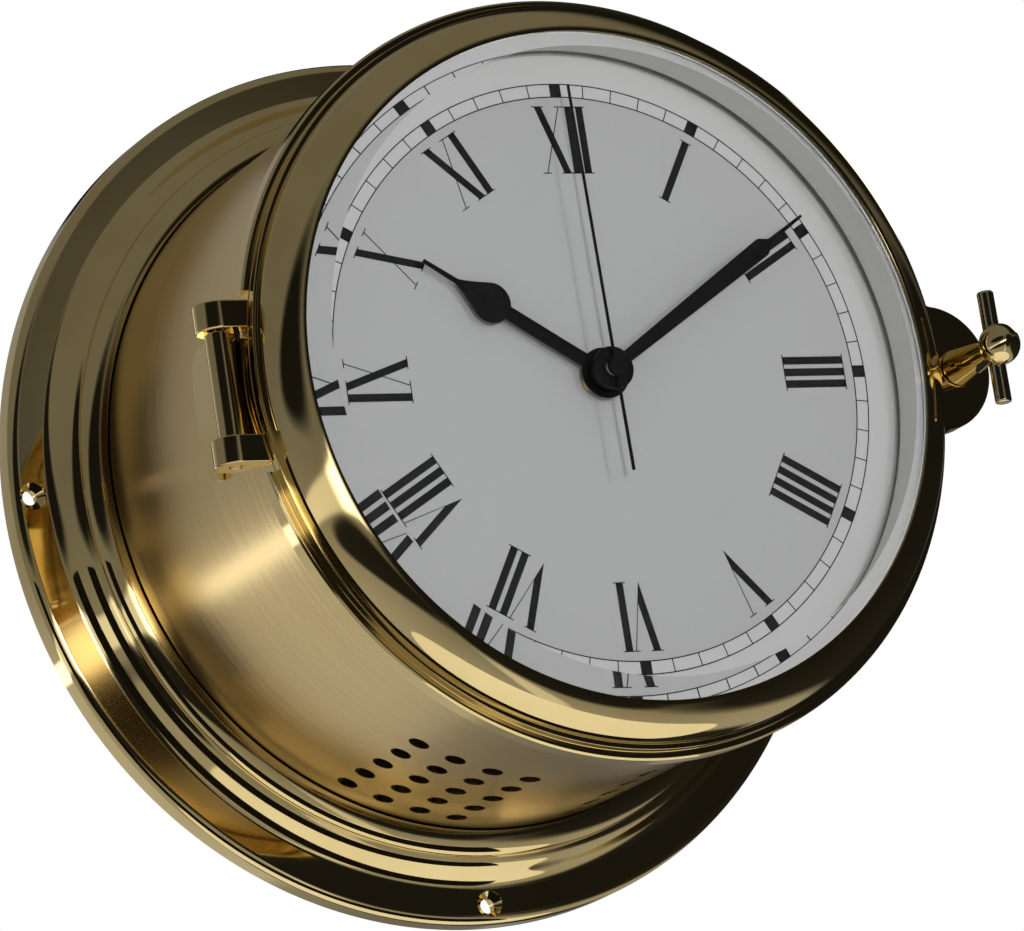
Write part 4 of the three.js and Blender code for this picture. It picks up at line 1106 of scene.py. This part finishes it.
inside = (
    (silver, "dial_carrier"),
    (black_plastic, "movement_front_shell movement_rear_shell speaker_bracket"),
    (wheel_plastic, "motor_rotor driver_wheel seconds_wheel third_wheel centre_wheel minute_wheel"),
    (wheel_plastic, "hour_wheel setting_knob"),
    (steel, "motor_stator quartz_crystal battery_contact_positive battery_contact_negative"),
    (steel, "speaker_frame"),
    (dark_steel, "speaker_magnet"),
    (cone_paper, "speaker_cone"),
    (copper, "motor_coil"),
    (board_green, "circuit_board"),
    (cell_sleeve, "battery"),
    (gasket_rubber, "fixing_washer"),
    (plain_brass, "fixing_nut dial_foot_nut_1 dial_foot_nut_2 dial_foot_nut_3"),
)


def paint_inside():
    for finish, nodes in inside:
        for node in nodes.split():
            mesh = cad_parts[node].data
            mesh.materials.clear()
            mesh.materials.append(finish)


# Studio


# Metres and degrees
floor_half, floor_height, floor_glow = 2.2, -1.2, 0.75
tent_radius, tent_opening, tent_rows, tent_sides = 1.5, 168, 24, 48
card_radius, card_rear, card_front = 0.13, 0.015, 0.052
card_start, card_sweep, card_steps = 168, 94, 40
lamp_aim = Vector((0, -0.05, 0))

# Each lamp's place, width and watts
lamps = {
    "key": ((-0.42, -1.64, -0.12), 0.14, 7.4),
    "fill": ((0.42, -1.6, 0.12), 0.16, 4.2),
    "back": ((-0.3, 0.9, 0.6), 0.8, 3),
}


def staged(name, verts, faces, finish):
    mesh = bpy.data.meshes.new(name)
    mesh.from_pydata(verts, [], faces)
    mesh.materials.append(finish)
    prop = shown(name, mesh)
    return prop


def only_mirrored(prop):
    """Hides a prop from everything but reflections and clear glass."""
    prop.visible_camera = prop.visible_diffuse = prop.visible_shadow = False
    prop.visible_volume_scatter = False


def looking(graph):
    """1 for the rays that the camera, metal and glass send, which show the background white."""
    rays = graph.node("ShaderNodeLightPath")
    return either(*[rays.out(f"Is {kind} Ray") for kind in ("Camera", "Glossy", "Transmission")])


def make_floor():
    """Pale paper below the clock, shown nearly white."""
    finish, graph, place = new_finish("studio_floor")
    cloud = speckle(graph, place, 3, 2)
    paper = graph.node("ShaderNodeBsdfDiffuse", {}, {
        "Color": graph.blend(cloud, (0.86, 0.86, 0.85), (0.90, 0.90, 0.89)),
    })
    white = graph.node("ShaderNodeEmission", {}, {"Color": tone(1, 1, 1), "Strength": 1.0})
    share = looking(graph) * floor_glow
    outer(graph, graph.node("ShaderNodeMixShader", {}, {0: share, 1: paper, 2: white}))
    corners = [(-1, -1), (1, -1), (1, 1), (-1, 1)]
    verts = [(x * floor_half, y * floor_half, floor_height) for x, y in corners]
    staged("floor", verts, [(0, 1, 2, 3)], finish)


def tent_level(graph, place):
    """How bright the tent's cloth is in each direction from the clock. Right and up are measured on a
    flat map, on which 0 is straight in front of the dial and 1 is a quarter turn from it."""
    unit = graph.node("ShaderNodeVectorMath", {"operation": "NORMALIZE"}, {0: place})
    x, y, z = graph.parts(unit)
    off_axis = (y * -1).maths("ARCCOSINE") / (math.pi / 2)
    flat = (x * x + z * z + 1e-6).maths("SQRT")
    right, up = off_axis * x / flat, off_axis * z / flat

    def oval(x, y, wide, high, lean=0.0, soft=0.25):
        """1 inside an oval at x and y with these half sizes, 0 outside."""
        across = (right - x) / wide
        along = (up - y - (right - x) * lean) / high
        return 1 - (across * across + along * along).ramp(1 - soft, 1 + soft)

    # Painted light: the cloth glows at this level, brighter below and behind. The dark ovals are painted
    # dark patches that the brass shows as dark bars.
    behind = off_axis.ramp(1.35, 1.6)
    cloth = 0.15 + (1 - up.ramp(-0.9, 0.3)) * 0.2 + behind * (0.13 - right.ramp(0, 1.1) * 0.2)
    dark_side = oval(0.92, -0.13, 0.64, 0.48)
    dark_corner = right.ramp(0.38, 0.55) * up.ramp(0.2, 0.45)
    dark_below = (1 - (up - right * 0.22).ramp(-1.12, -1.02)) * right.ramp(-0.45, -0.33)
    dark_below = dark_below * (1 - off_axis.ramp(1.48, 1.62) * (1 - right.ramp(0, 0.3) * 0.45))
    upper_bar = oval(-0.4, 0.18, 0.44, 0.14, 0.15, 0.5)
    lower_bar = oval(-0.36, -0.24, 0.5, 0.1, 0.38, 0.4)
    short_bar = oval(0.18, -0.1, 0.14, 0.2, 0.0, 0.5)
    dark_front = oval(0.33, 0.13, 0.24, 0.26, 0.0, 0.45)
    dark = either(dark_side, dark_corner, dark_below, upper_bar, lower_bar, short_bar, dark_front)

    # A painted highlight strip, small painted lights and a painted rim light. They show as highlights in
    # the brass and glass.
    beside_strip = (up - 0.13 - (right - 0.25) * 0.36).size() / (0.03 + right.size() * 0.04)
    strip = (1 - beside_strip.ramp(0.75, 1.2)) * (1 - right.ramp(0.02, 0.14))
    strip = strip * (0.6 + right.ramp(-0.34, -0.08) * 2.2 + (1 - right.ramp(-1.45, -1.2)))
    small_lights = oval(1.15, 0.66, 0.16, 0.13) * 1.6 + oval(0.04, -0.5, 0.05, 0.25, 0.0, 0.6) * 0.35
    rim_light = off_axis.ramp(1.66, 1.8) * (1 - right.ramp(0.2, 0.6)) * 0.6
    return cloth * (1 - dark * 0.94) + strip + small_lights + rim_light


def make_tent():
    """A glowing tent, open behind the clock, that shows only in reflections: its bright strips and dark
    patches are painted highlights and painted shade for the metal and glass to reflect.
    What is seen straight through the glass is seen through the tent too."""
    finish, graph, place = new_finish("painted_reflection_tent")
    level = tent_level(graph, place)
    glow = graph.node("ShaderNodeEmission", {}, {
        "Color": graph.node("ShaderNodeCombineColor", {}, {0: level, 1: level, 2: level}),
    })
    rays = graph.node("ShaderNodeLightPath")
    straight = rays.out("Is Transmission Ray") * (1 - rays.out("Glossy Depth").over(0.5))
    open_air = graph.node("ShaderNodeBsdfTransparent")
    outer(graph, graph.node("ShaderNodeMixShader", {}, {0: straight, 1: glow, 2: open_air}))
    verts, faces = [(0, -tent_radius, 0)], []
    for row in range(tent_rows):
        tilt = math.radians(tent_opening * (row + 1) / tent_rows)
        wide, depth = tent_radius * math.sin(tilt), tent_radius * math.cos(tilt)
        inner, ring = 1 + (row - 1) * tent_sides, 1 + row * tent_sides
        for side in range(tent_sides):
            turn, after = TURN * side / tent_sides, (side + 1) % tent_sides
            verts.append((wide * math.sin(turn), -depth, wide * math.cos(turn)))
            four = (inner + side, ring + side, ring + after, inner + after)
            faces.append(four if row else (0, ring + side, ring + after))
    only_mirrored(staged("surround", verts, faces, finish))


def make_card():
    """A curved black card below and to the left of the flange, which shows only in reflections."""
    finish, graph, place = new_finish("black_card")
    nap = speckle(graph, place, 300, 2)
    surface(
        graph,
        Base_Color=graph.blend(nap, (0.006, 0.006, 0.006), (0.012, 0.012, 0.012)),
        Roughness=0.9,
    )
    verts, faces = [], []
    for step in range(card_steps + 1):
        x, z = on_dial(card_radius, card_start + card_sweep * step / card_steps)
        verts += [(x, -card_rear, z), (x, -card_front, z)]
        if step:
            faces.append((2 * step - 2, 2 * step - 1, 2 * step + 1, 2 * step))
    card = staged("card", verts, faces, finish)
    only_mirrored(card)
    card.visible_transmission = False


def make_world():
    """Soft light on the clock, and plain white behind it."""
    world = bpy.data.worlds.new("studio")
    world.use_nodes = True
    world.node_tree.nodes.clear()
    graph = Graph(world.node_tree)
    soft = graph.node("ShaderNodeBackground", {}, {"Color": tone(0.95, 0.97, 1.0), "Strength": 0.45})
    plain = graph.node("ShaderNodeBackground", {}, {"Color": tone(1, 1, 1), "Strength": 1.0})
    mixed = graph.node("ShaderNodeMixShader", {}, {0: looking(graph), 1: soft, 2: plain})
    graph.node("ShaderNodeOutputWorld", {}, {"Surface": mixed})
    bpy.context.scene.world = world


def make_lamps():
    for name, (place, width, watts) in lamps.items():
        data = bpy.data.lights.new(name, "AREA")
        data.shape, data.size, data.energy = "DISK", width, watts
        lamp = bpy.data.objects.new(name, data)
        lamp.location = place
        lamp.rotation_euler = (lamp_aim - Vector(place)).to_track_quat("-Z", "Y").to_euler()
        lamp.visible_glossy = False
        bpy.context.scene.collection.objects.link(lamp)


def make_camera():
    """Stands to the left of the clock and below it, with a long lens."""
    data = bpy.data.cameras.new("camera")
    data.sensor_width, data.lens = 36.0, 216.237
    data.clip_start, data.clip_end = 0.05, 50.0
    camera = bpy.data.objects.new("camera", data)
    camera.rotation_mode = "QUATERNION"
    camera.location = (-0.564196, -1.068910, -0.286883)
    camera.rotation_quaternion = Quaternion((0.5862738, 0.7732287, -0.1363465, -0.1995247))
    bpy.context.scene.collection.objects.link(camera)
    bpy.context.scene.camera = camera


make_flange()
make_drum()
make_cover()
make_dial()
make_minute_track()
make_numerals()
make_hands()
make_bezel()
make_glass()
make_hinge()
make_clamp()
paint_inside()
make_floor()
make_tent()
make_card()
make_world()
make_lamps()
make_camera()
bpy.context.scene.view_settings.view_transform = "Standard"
